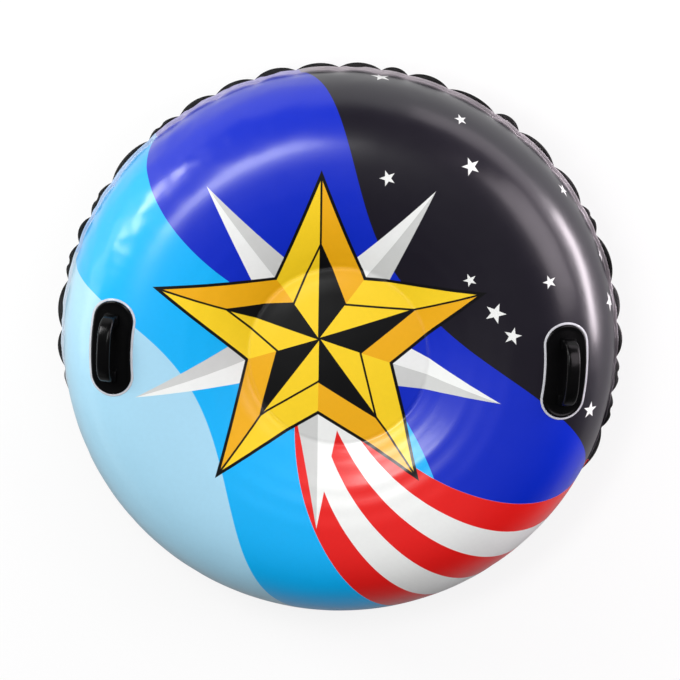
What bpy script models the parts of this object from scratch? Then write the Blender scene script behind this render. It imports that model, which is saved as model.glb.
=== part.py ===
"""An inflatable snow tube, as the separate pieces that are welded, pressed and screwed together.

The tube lies flat on its underside. The origin is on the ground under its centre, +Z is up, and the two
grips are on the X axis. All lengths are in metres.
"""

import math

import bmesh
import bpy
from mathutils import Matrix, Vector

# Whole tube
TUBE_DIAMETER = 0.990
CREST_Z = 0.250
CREST_INSET = 0.155
SEAM_Z = 0.105
SHEET = 0.0006
GAP = 0.0003
OVERRUN = 0.012
MERGE = 0.00001

# Seat, between the weld circle and the centre
SEAT_RADIUS = 0.157
SEAT_CREASE_DEPTH = 0.0375
SEAT_CROWN = 0.010

# Underside
GROUND_INSET = 0.105
GROUND_WIDTH = 0.100
UNDER_CREASE_Z = 0.050
VALVE_LAND_Z = 0.042

# Seam: two welded plies whose edge is drawn into scallops
SCALLOPS = 42
SEAM_WIDTH = 0.015
SCALLOP_DEPTH = 0.008
TOP_PLY_TRIM = 0.008
TOP_PLY_WAVE = 0.002
PUCKER_DEPTH = 0.004
PUCKER_REACH = 0.050

# Counts of the turned sheets
TURN_STEPS = SCALLOPS * 2
WALL_STEPS = 6
SLOPE_STEPS = 3
SEAT_STEPS = 2

# Curves, as the power of their sine and cosine: 1 gives an ellipse, and less a squarer outline
TOP_CURVE_SHARE = 0.87
UNDER_CURVE_SHARE = 0.91
SCALLOP_CURVE_SHARE = 0.62
GRIP_CURVE_SHARE = 0.77

# Baffle band that ties the two sheets together round the seat
BAFFLE_FLANGE = 0.008
AIR_HOLES = 8
AIR_HOLE_RADIUS = 0.016
AIR_HOLE_SIDES = 16

# Handles: a bean-shaped base bent round the tube, with an arched grip on it
HANDLE_INSET = 0.105
HANDLE_LENGTH = 0.164
HANDLE_WIDTH = 0.068
HANDLE_BASE = 0.0022
WELD_EDGE_WIDTH = 0.004
WELD_EDGE = 0.0008
DOUBLER_MARGIN = 0.010
DOUBLER = 0.0006
BEAN_SIDE_STEPS = 5
BEAN_END_STEPS = 8

GRIP_LENGTH = 0.118
GRIP_HEIGHT = 0.038
GRIP_THICKNESS = 0.012
GRIP_FOOT = 0.020
GRIP_WIDTH = 0.024
GRIP_EDGE = 0.0035
GRIP_STEPS = 9

# Valve: a welded socket, a screw insert with a check mushroom, and a tethered cap
VALVE_BORE_RADIUS = 0.0150
SOCKET_WALL = 0.0025
SOCKET_DROP = 0.003
SOCKET_RISE = 0.014
SOCKET_FLANGE_WIDTH = 0.014
SOCKET_FLANGE = 0.0015
LAND_MARGIN = 0.005
SEAL_SECTION_RADIUS = 0.0010
INSERT_RIM = 0.004
INSERT_RIM_OVERHANG = 0.001
INSERT_WALL = 0.0015
INSERT_FLOOR = 0.002
NOTCHES = 8
NOTCH_RADIUS = 0.0018
INLET_RADIUS = 0.006
INLET_WALL = 0.002
INLET_RISE = 0.007
NECK_LENGTH = 0.0045
SPOKE_WIDTH = 0.0016
SPOKE_HEIGHT = 0.002
HUB_RADIUS = 0.0028
STEM_RADIUS = 0.0012
STEM_BULB_RADIUS = 0.0020
STEM_BULB = 0.0012
MUSHROOM_OVERLAP = 0.0015
MUSHROOM = 0.0008
MUSHROOM_LIFT = 0.0015
TETHER = 0.0012
TETHER_WIDTH = 0.0024
CAP_CLEARANCE = 0.0006
CAP_WALL = 0.0016
CAP_FLOOR = 0.0018
CAP_TAB_WIDTH = 0.005
CAP_TAB = 0.0012
HINGE_REACH = 0.003
HINGE_BARREL_RADIUS = 0.0012
VALVE_STEPS = 32
SMALL_STEPS = 16
BARREL_SIDES = 12

# Places that the pieces share
TUBE_RADIUS = TUBE_DIAMETER / 2
SEAM_RADIUS = TUBE_RADIUS - SEAM_WIDTH
CREST_RADIUS = SEAM_RADIUS - CREST_INSET
GROUND_OUTER_RADIUS = SEAM_RADIUS - GROUND_INSET
GROUND_INNER_RADIUS = GROUND_OUTER_RADIUS - GROUND_WIDTH
HANDLE_RADIUS = TUBE_RADIUS - HANDLE_INSET
BASE_FOOT = SHEET + GAP
BASE_TOP = BASE_FOOT + HANDLE_BASE
SOCKET_RADIUS = VALVE_BORE_RADIUS + SOCKET_WALL
SOCKET_FLANGE_RADIUS = SOCKET_RADIUS + SOCKET_FLANGE_WIDTH
SOCKET_BOTTOM_Z = VALVE_LAND_Z - SOCKET_DROP
SEAL_RADIUS = VALVE_BORE_RADIUS + SOCKET_WALL / 2
SEAL_Z = SOCKET_BOTTOM_Z - GAP - SEAL_SECTION_RADIUS
RIM_TOP_Z = SEAL_Z - SEAL_SECTION_RADIUS - GAP
RIM_BOTTOM_Z = RIM_TOP_Z - INSERT_RIM
RIM_RADIUS = SOCKET_RADIUS + INSERT_RIM_OVERHANG
NECK_RADIUS = INLET_RADIUS + INLET_WALL
NECK_BOTTOM_Z = RIM_BOTTOM_Z - NECK_LENGTH
INLET_TOP_Z = RIM_TOP_Z + INLET_RISE
TETHER_TOP_Z = RIM_BOTTOM_Z - GAP
TETHER_BOTTOM_Z = TETHER_TOP_Z - TETHER
CAP_TOP_Z = TETHER_BOTTOM_Z - GAP
CAP_INNER_Z = NECK_BOTTOM_Z - GAP
CAP_BORE_RADIUS = NECK_RADIUS + CAP_CLEARANCE
CAP_RADIUS = CAP_BORE_RADIUS + CAP_WALL
HINGE_X = CAP_RADIUS + HINGE_REACH
HINGE_Z = CAP_TOP_Z - CAP_TAB / 2


def new_collection(name):
    """An empty collection linked to the scene."""
    collection = bpy.data.collections.new(name)
    bpy.context.scene.collection.children.link(collection)
    return collection


def material(name, colour, roughness, alpha=1.0):
    """A non-metallic Principled material."""
    made = bpy.data.materials.new(name)
    made.use_nodes = True
    shader = made.node_tree.nodes["Principled BSDF"]
    shader.inputs["Base Color"].default_value = (*colour, 1.0)
    shader.inputs["Roughness"].default_value = roughness
    shader.inputs["Metallic"].default_value = 0.0
    shader.inputs["Alpha"].default_value = alpha
    return made


def add_object(name, data, collection, finish=None):
    """An object with this data, in this collection."""
    made = bpy.data.objects.new(name, data)
    collection.objects.link(made)
    if finish is not None:
        data.materials.append(finish)
    return made


def add_cutter(name, data):
    """A guide that shapes other pieces and is no part of the tube."""
    cutter = add_object(name, data, CUTTERS)
    cutter.hide_render = True
    cutter.display_type = "WIRE"
    return cutter


def evaluated_mesh(source):
    """The mesh that an object's modifiers or curve make, with doubled points welded."""
    bpy.context.view_layer.update()
    graph = bpy.context.evaluated_depsgraph_get()
    mesh = bpy.data.meshes.new_from_object(source.evaluated_get(graph))
    work = bmesh.new()
    work.from_mesh(mesh)
    bmesh.ops.remove_doubles(work, verts=work.verts, dist=MERGE)
    work.to_mesh(mesh)
    work.free()
    return mesh


def shape_with(target, cutter, operation):
    """A Boolean modifier on target."""
    boolean = target.modifiers.new(operation.lower(), "BOOLEAN")
    boolean.operation = operation
    boolean.object = cutter
    boolean.solver = "EXACT"


def turn(target, steps):
    """A full Screw modifier about Z."""
    screw = target.modifiers.new("turn", "SCREW")
    screw.axis = "Z"
    screw.angle = math.tau
    screw.steps = steps
    screw.render_steps = steps
    screw.use_merge_vertices = True
    screw.merge_threshold = MERGE


def profile_mesh(name, points, closed):
    """A line of (radius, height) points as a mesh of edges in the XZ plane."""
    mesh = bpy.data.meshes.new(name)
    count = len(points)
    pairs = [(index, (index + 1) % count) for index in range(count if closed else count - 1)]
    mesh.from_pydata([(radius, 0.0, height) for radius, height in points], pairs, [])
    return mesh


def turned_piece(name, points, finish):
    """A closed section turned about Z. Its points run down the outer side and up the inner one."""
    made = add_object(name, profile_mesh(name, points, True), PARTS, finish)
    turn(made, VALVE_STEPS)
    return made


def turned_cutter(name, points, steps):
    """A closed section turned about Z, as a cutter."""
    made = add_cutter(name, profile_mesh(name, points, True))
    turn(made, steps)
    return made


def prism(name, outline, low, high):
    """A flat outline of (x, y) points, extruded from one height to another, as a cutter."""
    curve = bpy.data.curves.new(name, "CURVE")
    curve.dimensions = "2D"
    curve.fill_mode = "BOTH"
    curve.extrude = (high - low) / 2
    spline = curve.splines.new("POLY")
    spline.points.add(len(outline) - 1)
    for point, (x, y) in zip(spline.points, outline):
        point.co = (x, y, 0.0, 1.0)
    spline.use_cyclic_u = True
    guide = add_cutter(name + "_outline", curve)
    mesh = evaluated_mesh(guide)
    bpy.data.objects.remove(guide)
    mesh.transform(Matrix.Translation((0.0, 0.0, (low + high) / 2)))
    return add_cutter(name, mesh)


def quarter(share, half_width, height, curve_share):
    """A point on a quarter superellipse: share 0 is its foot, level with its centre, and 1 its top."""
    angle = share * math.pi / 2
    across = half_width * max(math.cos(angle), 0.0) ** curve_share
    return across, height * math.sin(angle) ** curve_share


def top_line():
    """The air side of the top sheet, from its centre out over the ring and down to the seam."""
    foot_z = SEAM_Z + GAP / 2
    crest_z = CREST_Z - SHEET
    crease_z = crest_z - SEAT_CREASE_DEPTH
    points = []
    for step in range(SEAT_STEPS):
        share = step / SEAT_STEPS
        points.append((SEAT_RADIUS * share, crease_z + SEAT_CROWN * (1 - share**2)))
    for step in range(SLOPE_STEPS):
        share = 1 - step / SLOPE_STEPS
        radius = CREST_RADIUS + (SEAT_RADIUS - CREST_RADIUS) * share
        points.append((radius, crest_z - SEAT_CREASE_DEPTH * share**2))
    for step in range(WALL_STEPS + 1):
        share = 1 - step / WALL_STEPS
        across, up = quarter(share, CREST_INSET, crest_z - foot_z, TOP_CURVE_SHARE)
        points.append((CREST_RADIUS + across, foot_z + up))
    return points


def under_line():
    """The air side of the bottom sheet, from the seam down to the ground and in to the valve hole."""
    rim_z = SEAM_Z - GAP / 2
    land_z = VALVE_LAND_Z + SHEET
    crease_z = UNDER_CREASE_Z + SHEET
    land_radius = SOCKET_FLANGE_RADIUS + LAND_MARGIN
    points = []
    for step in range(WALL_STEPS):
        share = step / (WALL_STEPS - 1)
        across, down = quarter(share, GROUND_INSET, rim_z - SHEET, UNDER_CURVE_SHARE)
        points.append((GROUND_OUTER_RADIUS + across, rim_z - down))
    for step in range(SLOPE_STEPS + 1):
        share = step / SLOPE_STEPS
        radius = GROUND_INNER_RADIUS + (SEAT_RADIUS - GROUND_INNER_RADIUS) * share
        points.append((radius, SHEET + (crease_z - SHEET) * share**2))
    points.append((land_radius, land_z))
    points.append((SOCKET_RADIUS + GAP, land_z))
    return points


def lifted(line, lift):
    """A line moved outwards along its normals by a lift, with mitred corners."""
    normals = []
    for (radius_a, z_a), (radius_b, z_b) in zip(line, line[1:]):
        normals.append(Vector((z_a - z_b, radius_b - radius_a)).normalized())
    moved = []
    for index, (radius, height) in enumerate(line):
        before = normals[max(index - 1, 0)]
        after = normals[min(index, len(normals) - 1)]
        mitre = (before + after).normalized()
        if radius == 0:
            mitre = Vector((0.0, 1.0))
        reach = lift / mitre.dot(before)
        moved.append((radius + mitre.x * reach, height + mitre.y * reach))
    return moved


def surface_at(line, radius):
    """The height of a line at a radius, and the angle that its surface falls away outwards."""
    for (radius_a, z_a), (radius_b, z_b) in zip(line, line[1:]):
        if radius_a <= radius <= radius_b:
            share = (radius - radius_a) / (radius_b - radius_a)
            return z_a + (z_b - z_a) * share, math.atan2(z_a - z_b, radius_b - radius_a)
    raise ValueError("the radius is outside the line")


def scallop(angle):
    """How far out the seam stands at an angle: 0 in a notch, 1 on a lobe."""
    return abs(math.cos(SCALLOPS * angle / 2)) ** SCALLOP_CURVE_SHARE


def puckered_sheet(name, line, edge_radius, edge_wave, finish):
    """A turned sheet whose welded edge is drawn into scallops, with a ply flange beyond the seam."""
    guide = add_object(name + "_turned", profile_mesh(name, line, False), CUTTERS)
    turn(guide, TURN_STEPS)
    mesh = evaluated_mesh(guide)
    bpy.data.objects.remove(guide)
    work = bmesh.new()
    work.from_mesh(mesh)

    def seam_edges():
        return [
            edge
            for edge in work.edges
            if edge.is_boundary
            and all(abs(Vector(vert.co.xy).length - SEAM_RADIUS) < SEAM_WIDTH for vert in edge.verts)
        ]

    bmesh.ops.subdivide_edges(work, edges=seam_edges(), cuts=1)
    grown = bmesh.ops.extrude_edge_only(work, edges=seam_edges())
    flange = {item for item in grown["geom"] if isinstance(item, bmesh.types.BMVert)}
    for vert in work.verts:
        angle = math.atan2(vert.co.y, vert.co.x)
        lobe = scallop(angle)
        radius = Vector(vert.co.xy).length
        rise = abs(vert.co.z - SEAM_Z)
        if vert in flange:
            radius = edge_radius - edge_wave * (1 - lobe)
        elif radius > CREST_RADIUS and rise < PUCKER_REACH:
            if rise < GAP:
                radius = SEAM_RADIUS
            radius -= PUCKER_DEPTH * (1 - rise / PUCKER_REACH) ** 2 * (1 - lobe)
        if radius > 0:
            vert.co.x = radius * math.cos(angle)
            vert.co.y = radius * math.sin(angle)
    bmesh.ops.triangulate(work, faces=work.faces)
    work.to_mesh(mesh)
    work.free()
    mesh.shade_smooth()
    sheet = add_object(name, mesh, PARTS, finish)
    wall = sheet.modifiers.new("sheet", "SOLIDIFY")
    wall.thickness = SHEET
    wall.offset = 1.0
    wall.use_even_offset = True
    return sheet


def seat_baffle():
    """A tension band from the seat crease down to the underside's, turned in at both ends for its welds."""
    top = lifted(top_line(), -GAP)
    under = lifted(under_line(), -GAP)
    inner_radius = SEAT_RADIUS - BAFFLE_FLANGE
    under_rising = list(reversed(under))
    section = [
        (inner_radius, surface_at(top, inner_radius)[0]),
        (SEAT_RADIUS, surface_at(top, SEAT_RADIUS)[0] - GAP),
        (SEAT_RADIUS, surface_at(under_rising, SEAT_RADIUS)[0] + GAP),
        (inner_radius, surface_at(under_rising, inner_radius)[0]),
    ]
    band = add_object("seat_baffle", profile_mesh("seat_baffle", section, False), PARTS, BAFFLE_FILM)
    turn(band, SCALLOPS)
    wall = band.modifiers.new("film", "SOLIDIFY")
    wall.thickness = SHEET
    wall.offset = -1.0
    wall.use_even_offset = True
    middle_z = (section[1][1] + section[2][1]) / 2
    drills = bmesh.new()
    for index in range(AIR_HOLES):
        facing = Matrix.Rotation(math.tau * (index + 0.5) / AIR_HOLES, 4, "Z")
        place = Matrix.Translation((SEAT_RADIUS, 0.0, middle_z))
        lying = Matrix.Rotation(math.pi / 2, 4, "Y")
        bmesh.ops.create_cone(
            drills,
            cap_ends=True,
            segments=AIR_HOLE_SIDES,
            radius1=AIR_HOLE_RADIUS,
            radius2=AIR_HOLE_RADIUS,
            depth=OVERRUN * 2,
            matrix=facing @ place @ lying,
        )
    mesh = bpy.data.meshes.new("air_holes")
    drills.to_mesh(mesh)
    drills.free()
    shape_with(band, add_cutter("air_holes", mesh), "DIFFERENCE")


def bean_outline(margin):
    """The handle base's outline, bent round the tube at the +X side and grown by a margin."""
    half_width = HANDLE_WIDTH / 2 + margin
    bend = (HANDLE_LENGTH - HANDLE_WIDTH) / 2 / HANDLE_RADIUS
    points = []
    for side in (1, -1):
        end = Vector((math.cos(side * bend), math.sin(side * bend))) * HANDLE_RADIUS
        for step in range(BEAN_SIDE_STEPS):
            angle = -side * bend + side * 2 * bend * step / BEAN_SIDE_STEPS
            reach = HANDLE_RADIUS + side * half_width
            points.append((reach * math.cos(angle), reach * math.sin(angle)))
        for step in range(BEAN_END_STEPS):
            turned = math.pi * step / BEAN_END_STEPS
            angle = side * bend + turned if side > 0 else math.pi - bend + turned
            points.append(
                (end.x + half_width * math.cos(angle), end.y + half_width * math.sin(angle))
            )
    return points


def film_band(name, low, high):
    """The space between two lifts above the top sheet's air side, turned all round as a cutter."""
    line = top_line()[SEAT_STEPS:]
    section = lifted(line, high) + list(reversed(lifted(line, low)))
    return turned_cutter(name, section, TURN_STEPS)


def patch_mesh(name, low, high, margin, hole_margin=None):
    """A bean-shaped patch that follows the top sheet between two lifts."""
    band = film_band(name + "_band", low, high)
    outline = prism(name + "_outline", bean_outline(margin), 0.0, CREST_Z + OVERRUN)
    shape_with(band, outline, "INTERSECT")
    if hole_margin is not None:
        hole = prism(name + "_hole", bean_outline(hole_margin), -OVERRUN, CREST_Z + OVERRUN * 2)
        shape_with(band, hole, "DIFFERENCE")
    mesh = evaluated_mesh(band)
    bpy.data.objects.remove(band)
    mesh.shade_smooth()
    mesh.set_sharp_from_angle(angle=math.radians(40))
    return mesh


def grip_mesh():
    """An arched strap grip that stands square on the handle base, its feet cut to sit on it."""
    half_length = GRIP_LENGTH / 2
    inner_half_length = half_length - GRIP_FOOT
    inner_height = GRIP_HEIGHT - GRIP_THICKNESS
    outline = [(-half_length, -OVERRUN)]
    for step in range(2 * GRIP_STEPS + 1):
        share = step / GRIP_STEPS
        side = -1 if share < 1 else 1
        across, up = quarter(min(share, 2 - share), half_length, GRIP_HEIGHT, GRIP_CURVE_SHARE)
        outline.append((side * across, up))
    outline.append((half_length, -OVERRUN))
    outline.append((inner_half_length, -OVERRUN))
    for step in range(2 * GRIP_STEPS + 1):
        share = step / GRIP_STEPS
        side = 1 if share < 1 else -1
        across, up = quarter(
            min(share, 2 - share), inner_half_length, inner_height, GRIP_CURVE_SHARE
        )
        outline.append((side * across, up))
    outline.append((-inner_half_length, -OVERRUN))
    arch = prism("grip_arch", outline, -GRIP_WIDTH / 2, GRIP_WIDTH / 2)
    edge = arch.modifiers.new("edge", "BEVEL")
    edge.width = GRIP_EDGE
    edge.segments = 2
    edge.limit_method = "ANGLE"
    edge.angle_limit = math.radians(60)
    height, fall = surface_at(lifted(top_line(), BASE_TOP)[SEAT_STEPS:], HANDLE_RADIUS)
    along = Vector((0.0, 1.0, 0.0))
    upright = Vector((math.sin(fall), 0.0, math.cos(fall)))
    across = along.cross(upright)
    stand = Matrix((along, upright, across)).transposed().to_4x4()
    stand.translation = (HANDLE_RADIUS, 0.0, height)
    arch.matrix_world = stand
    seat = film_band("grip_seat", -OVERRUN, BASE_TOP + GAP)
    shape_with(arch, seat, "DIFFERENCE")
    mesh = evaluated_mesh(arch)
    mesh.transform(stand)
    bpy.data.objects.remove(arch)
    mesh.shade_smooth()
    mesh.set_sharp_from_angle(angle=math.radians(50))
    return mesh


def place_pair(suffix, mesh, finish):
    """The same piece at the right (+X) and, turned half a turn about Z, at the left."""
    mesh.materials.clear()
    mesh.materials.append(finish)
    add_object("right_" + suffix, mesh, PARTS)
    left = add_object("left_" + suffix, mesh, PARTS)
    left.rotation_euler.z = math.pi


def handles():
    """The welded bases, clear edges, inner doublers and grips of both handles."""
    place_pair("handle_base", patch_mesh("handle_base", BASE_FOOT, BASE_TOP, 0.0), BLACK_MOULDING)
    place_pair(
        "handle_weld_edge",
        patch_mesh("weld_edge", BASE_FOOT, BASE_FOOT + WELD_EDGE, WELD_EDGE_WIDTH, GAP),
        CLEAR_FILM,
    )
    place_pair(
        "handle_doubler",
        patch_mesh("doubler", -GAP - DOUBLER, -GAP, DOUBLER_MARGIN),
        DOUBLER_FILM,
    )
    place_pair("grip", grip_mesh(), BLACK_MOULDING)


def valve_socket():
    """The threaded socket, welded by its flange to the inside of the bottom sheet."""
    flange_bottom = VALVE_LAND_Z + SHEET + GAP
    flange_top = flange_bottom + SOCKET_FLANGE
    top = VALVE_LAND_Z + SOCKET_RISE
    section = [
        (SOCKET_RADIUS, top),
        (SOCKET_RADIUS, flange_top),
        (SOCKET_FLANGE_RADIUS, flange_top),
        (SOCKET_FLANGE_RADIUS, flange_bottom),
        (SOCKET_RADIUS, flange_bottom),
        (SOCKET_RADIUS, SOCKET_BOTTOM_Z),
        (VALVE_BORE_RADIUS, SOCKET_BOTTOM_Z),
        (VALVE_BORE_RADIUS, top),
    ]
    turned_piece("valve_socket", section, VALVE_PLASTIC)


def valve_seal():
    """The rubber ring between the socket and the insert's rim."""
    section = []
    for step in range(SMALL_STEPS // 2):
        angle = -math.tau * step / (SMALL_STEPS // 2)
        section.append(
            (
                SEAL_RADIUS + SEAL_SECTION_RADIUS * math.cos(angle),
                SEAL_Z + SEAL_SECTION_RADIUS * math.sin(angle),
            )
        )
    turned_piece("valve_seal", section, SEAL_RUBBER)


def upright_rods(name, places, radius, low, high, sides):
    """Upright round rods at these (x, y) places, as one cutter."""
    rods = bmesh.new()
    for x, y in places:
        bmesh.ops.create_cone(
            rods,
            cap_ends=True,
            segments=sides,
            radius1=radius,
            radius2=radius,
            depth=high - low,
            matrix=Matrix.Translation((x, y, (low + high) / 2)),
        )
    mesh = bpy.data.meshes.new(name)
    rods.to_mesh(mesh)
    rods.free()
    return add_cutter(name, mesh)


def block(name, low, high):
    """A box between two corners, as a cutter."""
    box = bmesh.new()
    size = Vector(high) - Vector(low)
    middle = (Vector(high) + Vector(low)) / 2
    scaled = Matrix.Translation(middle) @ Matrix.Diagonal((*size, 1.0))
    bmesh.ops.create_cube(box, size=1.0, matrix=scaled)
    mesh = bpy.data.meshes.new(name)
    box.to_mesh(mesh)
    box.free()
    return add_cutter(name, mesh)


def valve_insert():
    """The screw insert: a cup with a notched rim, an inlet tube with a spoked hub, and a neck below."""
    body_radius = VALVE_BORE_RADIUS - GAP
    cup_radius = body_radius - INSERT_WALL
    cup_top = VALVE_LAND_Z + SOCKET_RISE
    floor_top = RIM_TOP_Z + INSERT_FLOOR
    section = [
        (body_radius, cup_top),
        (body_radius, RIM_TOP_Z),
        (RIM_RADIUS, RIM_TOP_Z),
        (RIM_RADIUS, RIM_BOTTOM_Z),
        (NECK_RADIUS, RIM_BOTTOM_Z),
        (NECK_RADIUS, NECK_BOTTOM_Z),
        (INLET_RADIUS, NECK_BOTTOM_Z),
        (INLET_RADIUS, INLET_TOP_Z),
        (NECK_RADIUS, INLET_TOP_Z),
        (NECK_RADIUS, floor_top),
        (cup_radius, floor_top),
        (cup_radius, cup_top),
    ]
    insert = turned_piece("valve_insert", section, VALVE_PLASTIC)
    reach = INLET_RADIUS + INLET_WALL / 2
    spoke_bottom = INLET_TOP_Z - SPOKE_HEIGHT
    spoke_top = INLET_TOP_Z - GAP
    half = SPOKE_WIDTH / 2
    centre = [(0.0, 0.0)]
    hub = upright_rods("hub", centre, HUB_RADIUS, spoke_bottom - GAP, spoke_top - GAP, SMALL_STEPS)
    for name, low, high in (
        ("spoke_x", (-reach, -half, spoke_bottom), (reach, half, spoke_top)),
        ("spoke_y", (-half, -reach, spoke_bottom + GAP / 2), (half, reach, spoke_top - GAP / 2)),
    ):
        shape_with(hub, block(name, low, high), "UNION")
    shape_with(insert, hub, "UNION")
    bore_radius = STEM_RADIUS + GAP
    bore_ends = (spoke_bottom - OVERRUN, spoke_top + OVERRUN)
    shape_with(insert, upright_rods("hub_bore", centre, bore_radius, *bore_ends, SMALL_STEPS), "DIFFERENCE")
    notch_reach = RIM_RADIUS + NOTCH_RADIUS / 3
    notch_angles = [math.tau * (index + 1 / 2) / NOTCHES for index in range(NOTCHES)]
    places = [(notch_reach * math.cos(angle), notch_reach * math.sin(angle)) for angle in notch_angles]
    notch_ends = (RIM_BOTTOM_Z - GAP, RIM_TOP_Z + GAP)
    notches = upright_rods("rim_notches", places, NOTCH_RADIUS, *notch_ends, BARREL_SIDES)
    shape_with(insert, notches, "DIFFERENCE")


def check_mushroom():
    """The soft disc that lifts off the inlet to let air in, its stem held in the hub by a bulb."""
    disc_radius = INLET_RADIUS + MUSHROOM_OVERLAP
    disc_bottom = INLET_TOP_Z + GAP
    disc_top = disc_bottom + MUSHROOM
    bulb_top = INLET_TOP_Z - SPOKE_HEIGHT - GAP * 2 - MUSHROOM_LIFT
    bulb_bottom = bulb_top - STEM_BULB
    section = [
        (0.0, disc_top),
        (disc_radius, disc_top),
        (disc_radius, disc_bottom),
        (STEM_RADIUS, disc_bottom),
        (STEM_RADIUS, bulb_top),
        (STEM_BULB_RADIUS, bulb_top - STEM_BULB / 2),
        (STEM_RADIUS, bulb_bottom),
        (0.0, bulb_bottom),
    ]
    made = add_object("check_mushroom", profile_mesh("check_mushroom", section, False), PARTS, SILICONE)
    turn(made, VALVE_STEPS)


def cap_tether():
    """The ring round the insert's neck, with a strap out to the cap's hinge."""
    inner = NECK_RADIUS + GAP
    outer = inner + TETHER_WIDTH
    section = [
        (outer, TETHER_TOP_Z),
        (outer, TETHER_BOTTOM_Z),
        (inner, TETHER_BOTTOM_Z),
        (inner, TETHER_TOP_Z),
    ]
    ring = turned_piece("cap_tether", section, VALVE_PLASTIC)
    half = CAP_TAB_WIDTH / 2
    strap = block(
        "tether_strap",
        (inner + TETHER_WIDTH / 2, -half, TETHER_BOTTOM_Z),
        (HINGE_X, half, TETHER_TOP_Z),
    )
    shape_with(ring, strap, "UNION")
    barrel = bmesh.new()
    bmesh.ops.create_cone(
        barrel,
        cap_ends=True,
        segments=BARREL_SIDES,
        radius1=HINGE_BARREL_RADIUS,
        radius2=HINGE_BARREL_RADIUS,
        depth=CAP_TAB_WIDTH,
        matrix=Matrix.Translation((HINGE_X, 0.0, HINGE_Z)) @ Matrix.Rotation(math.pi / 2, 4, "X"),
    )
    mesh = bpy.data.meshes.new("hinge_barrel")
    barrel.to_mesh(mesh)
    barrel.free()
    shape_with(ring, add_cutter("hinge_barrel", mesh), "UNION")


def valve_cap():
    """The cap over the neck, with a tab out to the hinge barrel. Its origin is on the hinge's axis."""
    section = [
        (CAP_RADIUS, CAP_TOP_Z),
        (CAP_RADIUS, CAP_INNER_Z - CAP_FLOOR),
        (0.0, CAP_INNER_Z - CAP_FLOOR),
        (0.0, CAP_INNER_Z),
        (CAP_BORE_RADIUS, CAP_INNER_Z),
        (CAP_BORE_RADIUS, CAP_TOP_Z),
    ]
    cup = turned_cutter("cap_cup", section, VALVE_STEPS)
    half = CAP_TAB_WIDTH / 2
    tab = block(
        "cap_tab",
        (CAP_BORE_RADIUS + CAP_WALL / 2, -half, HINGE_Z - CAP_TAB / 2),
        (HINGE_X - HINGE_BARREL_RADIUS - GAP, half, HINGE_Z + CAP_TAB / 2),
    )
    shape_with(cup, tab, "UNION")
    mesh = evaluated_mesh(cup)
    bpy.data.objects.remove(cup)
    hinge = Vector((HINGE_X, 0.0, HINGE_Z))
    mesh.transform(Matrix.Translation(-hinge))
    cap = add_object("valve_cap", mesh, PARTS, VALVE_PLASTIC)
    cap.location = hinge


for leftover in list(bpy.data.objects):
    bpy.data.objects.remove(leftover)

PARTS = new_collection("snow_tube")
CUTTERS = new_collection("cutters")

PRINTED_FILM = material("printed_film", (0.02, 0.08, 0.55), 0.25)
UNDER_FILM = material("under_film", (0.015, 0.015, 0.017), 0.35)
BAFFLE_FILM = material("baffle_film", (0.80, 0.80, 0.78), 0.40)
CLEAR_FILM = material("clear_film", (0.85, 0.88, 0.92), 0.15, 0.6)
DOUBLER_FILM = material("doubler_film", (0.70, 0.70, 0.68), 0.40)
BLACK_MOULDING = material("black_moulding", (0.012, 0.012, 0.014), 0.22)
VALVE_PLASTIC = material("valve_plastic", (0.030, 0.030, 0.032), 0.35)
SEAL_RUBBER = material("seal_rubber", (0.020, 0.020, 0.020), 0.60)
SILICONE = material("silicone", (0.75, 0.76, 0.76), 0.45)

puckered_sheet("top_sheet", top_line(), TUBE_RADIUS - TOP_PLY_TRIM, TOP_PLY_WAVE, PRINTED_FILM)
puckered_sheet("bottom_sheet", under_line(), TUBE_RADIUS, SCALLOP_DEPTH, UNDER_FILM)
seat_baffle()
handles()
valve_socket()
valve_seal()
valve_insert()
check_mushroom()
cap_tether()
valve_cap()
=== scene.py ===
"""The looks of an inflatable snow tube, built round its construction model.

All lengths are in metres. The origin is on the ground under the tube's centre, +Z is up and the two grips
are on the X axis. Run the file as a script: main() calls the operators in order.
"""

import math
import random

import bmesh
import bpy
from mathutils import Matrix, Vector, noise


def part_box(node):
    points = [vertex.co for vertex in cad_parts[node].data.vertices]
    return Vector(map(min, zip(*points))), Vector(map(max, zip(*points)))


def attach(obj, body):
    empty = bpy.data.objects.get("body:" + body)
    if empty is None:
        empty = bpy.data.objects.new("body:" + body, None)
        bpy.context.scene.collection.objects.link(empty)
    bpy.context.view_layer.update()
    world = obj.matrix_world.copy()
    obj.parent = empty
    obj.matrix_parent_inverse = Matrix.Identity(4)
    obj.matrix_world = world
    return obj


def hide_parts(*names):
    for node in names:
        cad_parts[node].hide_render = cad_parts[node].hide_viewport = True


bl_info = {
    "name": "Snow tube looks",
    "version": (1, 0, 0),
    "blender": (4, 5, 0),
    "location": "View3D > Sidebar > Snow tube",
    "description": "Films, handles, valve and stage of an inflatable snow tube",
    "category": "Object",
}

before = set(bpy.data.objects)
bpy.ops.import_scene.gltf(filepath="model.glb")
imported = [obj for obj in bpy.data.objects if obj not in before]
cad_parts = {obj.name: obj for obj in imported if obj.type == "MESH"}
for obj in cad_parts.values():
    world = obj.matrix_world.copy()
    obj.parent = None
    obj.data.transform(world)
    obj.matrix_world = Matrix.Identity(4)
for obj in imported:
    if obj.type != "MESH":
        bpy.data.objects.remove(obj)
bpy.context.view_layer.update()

# Places that come with the frame
TUBE_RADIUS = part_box("bottom_sheet")[1].x
CREST_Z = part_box("top_sheet")[1].z

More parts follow.
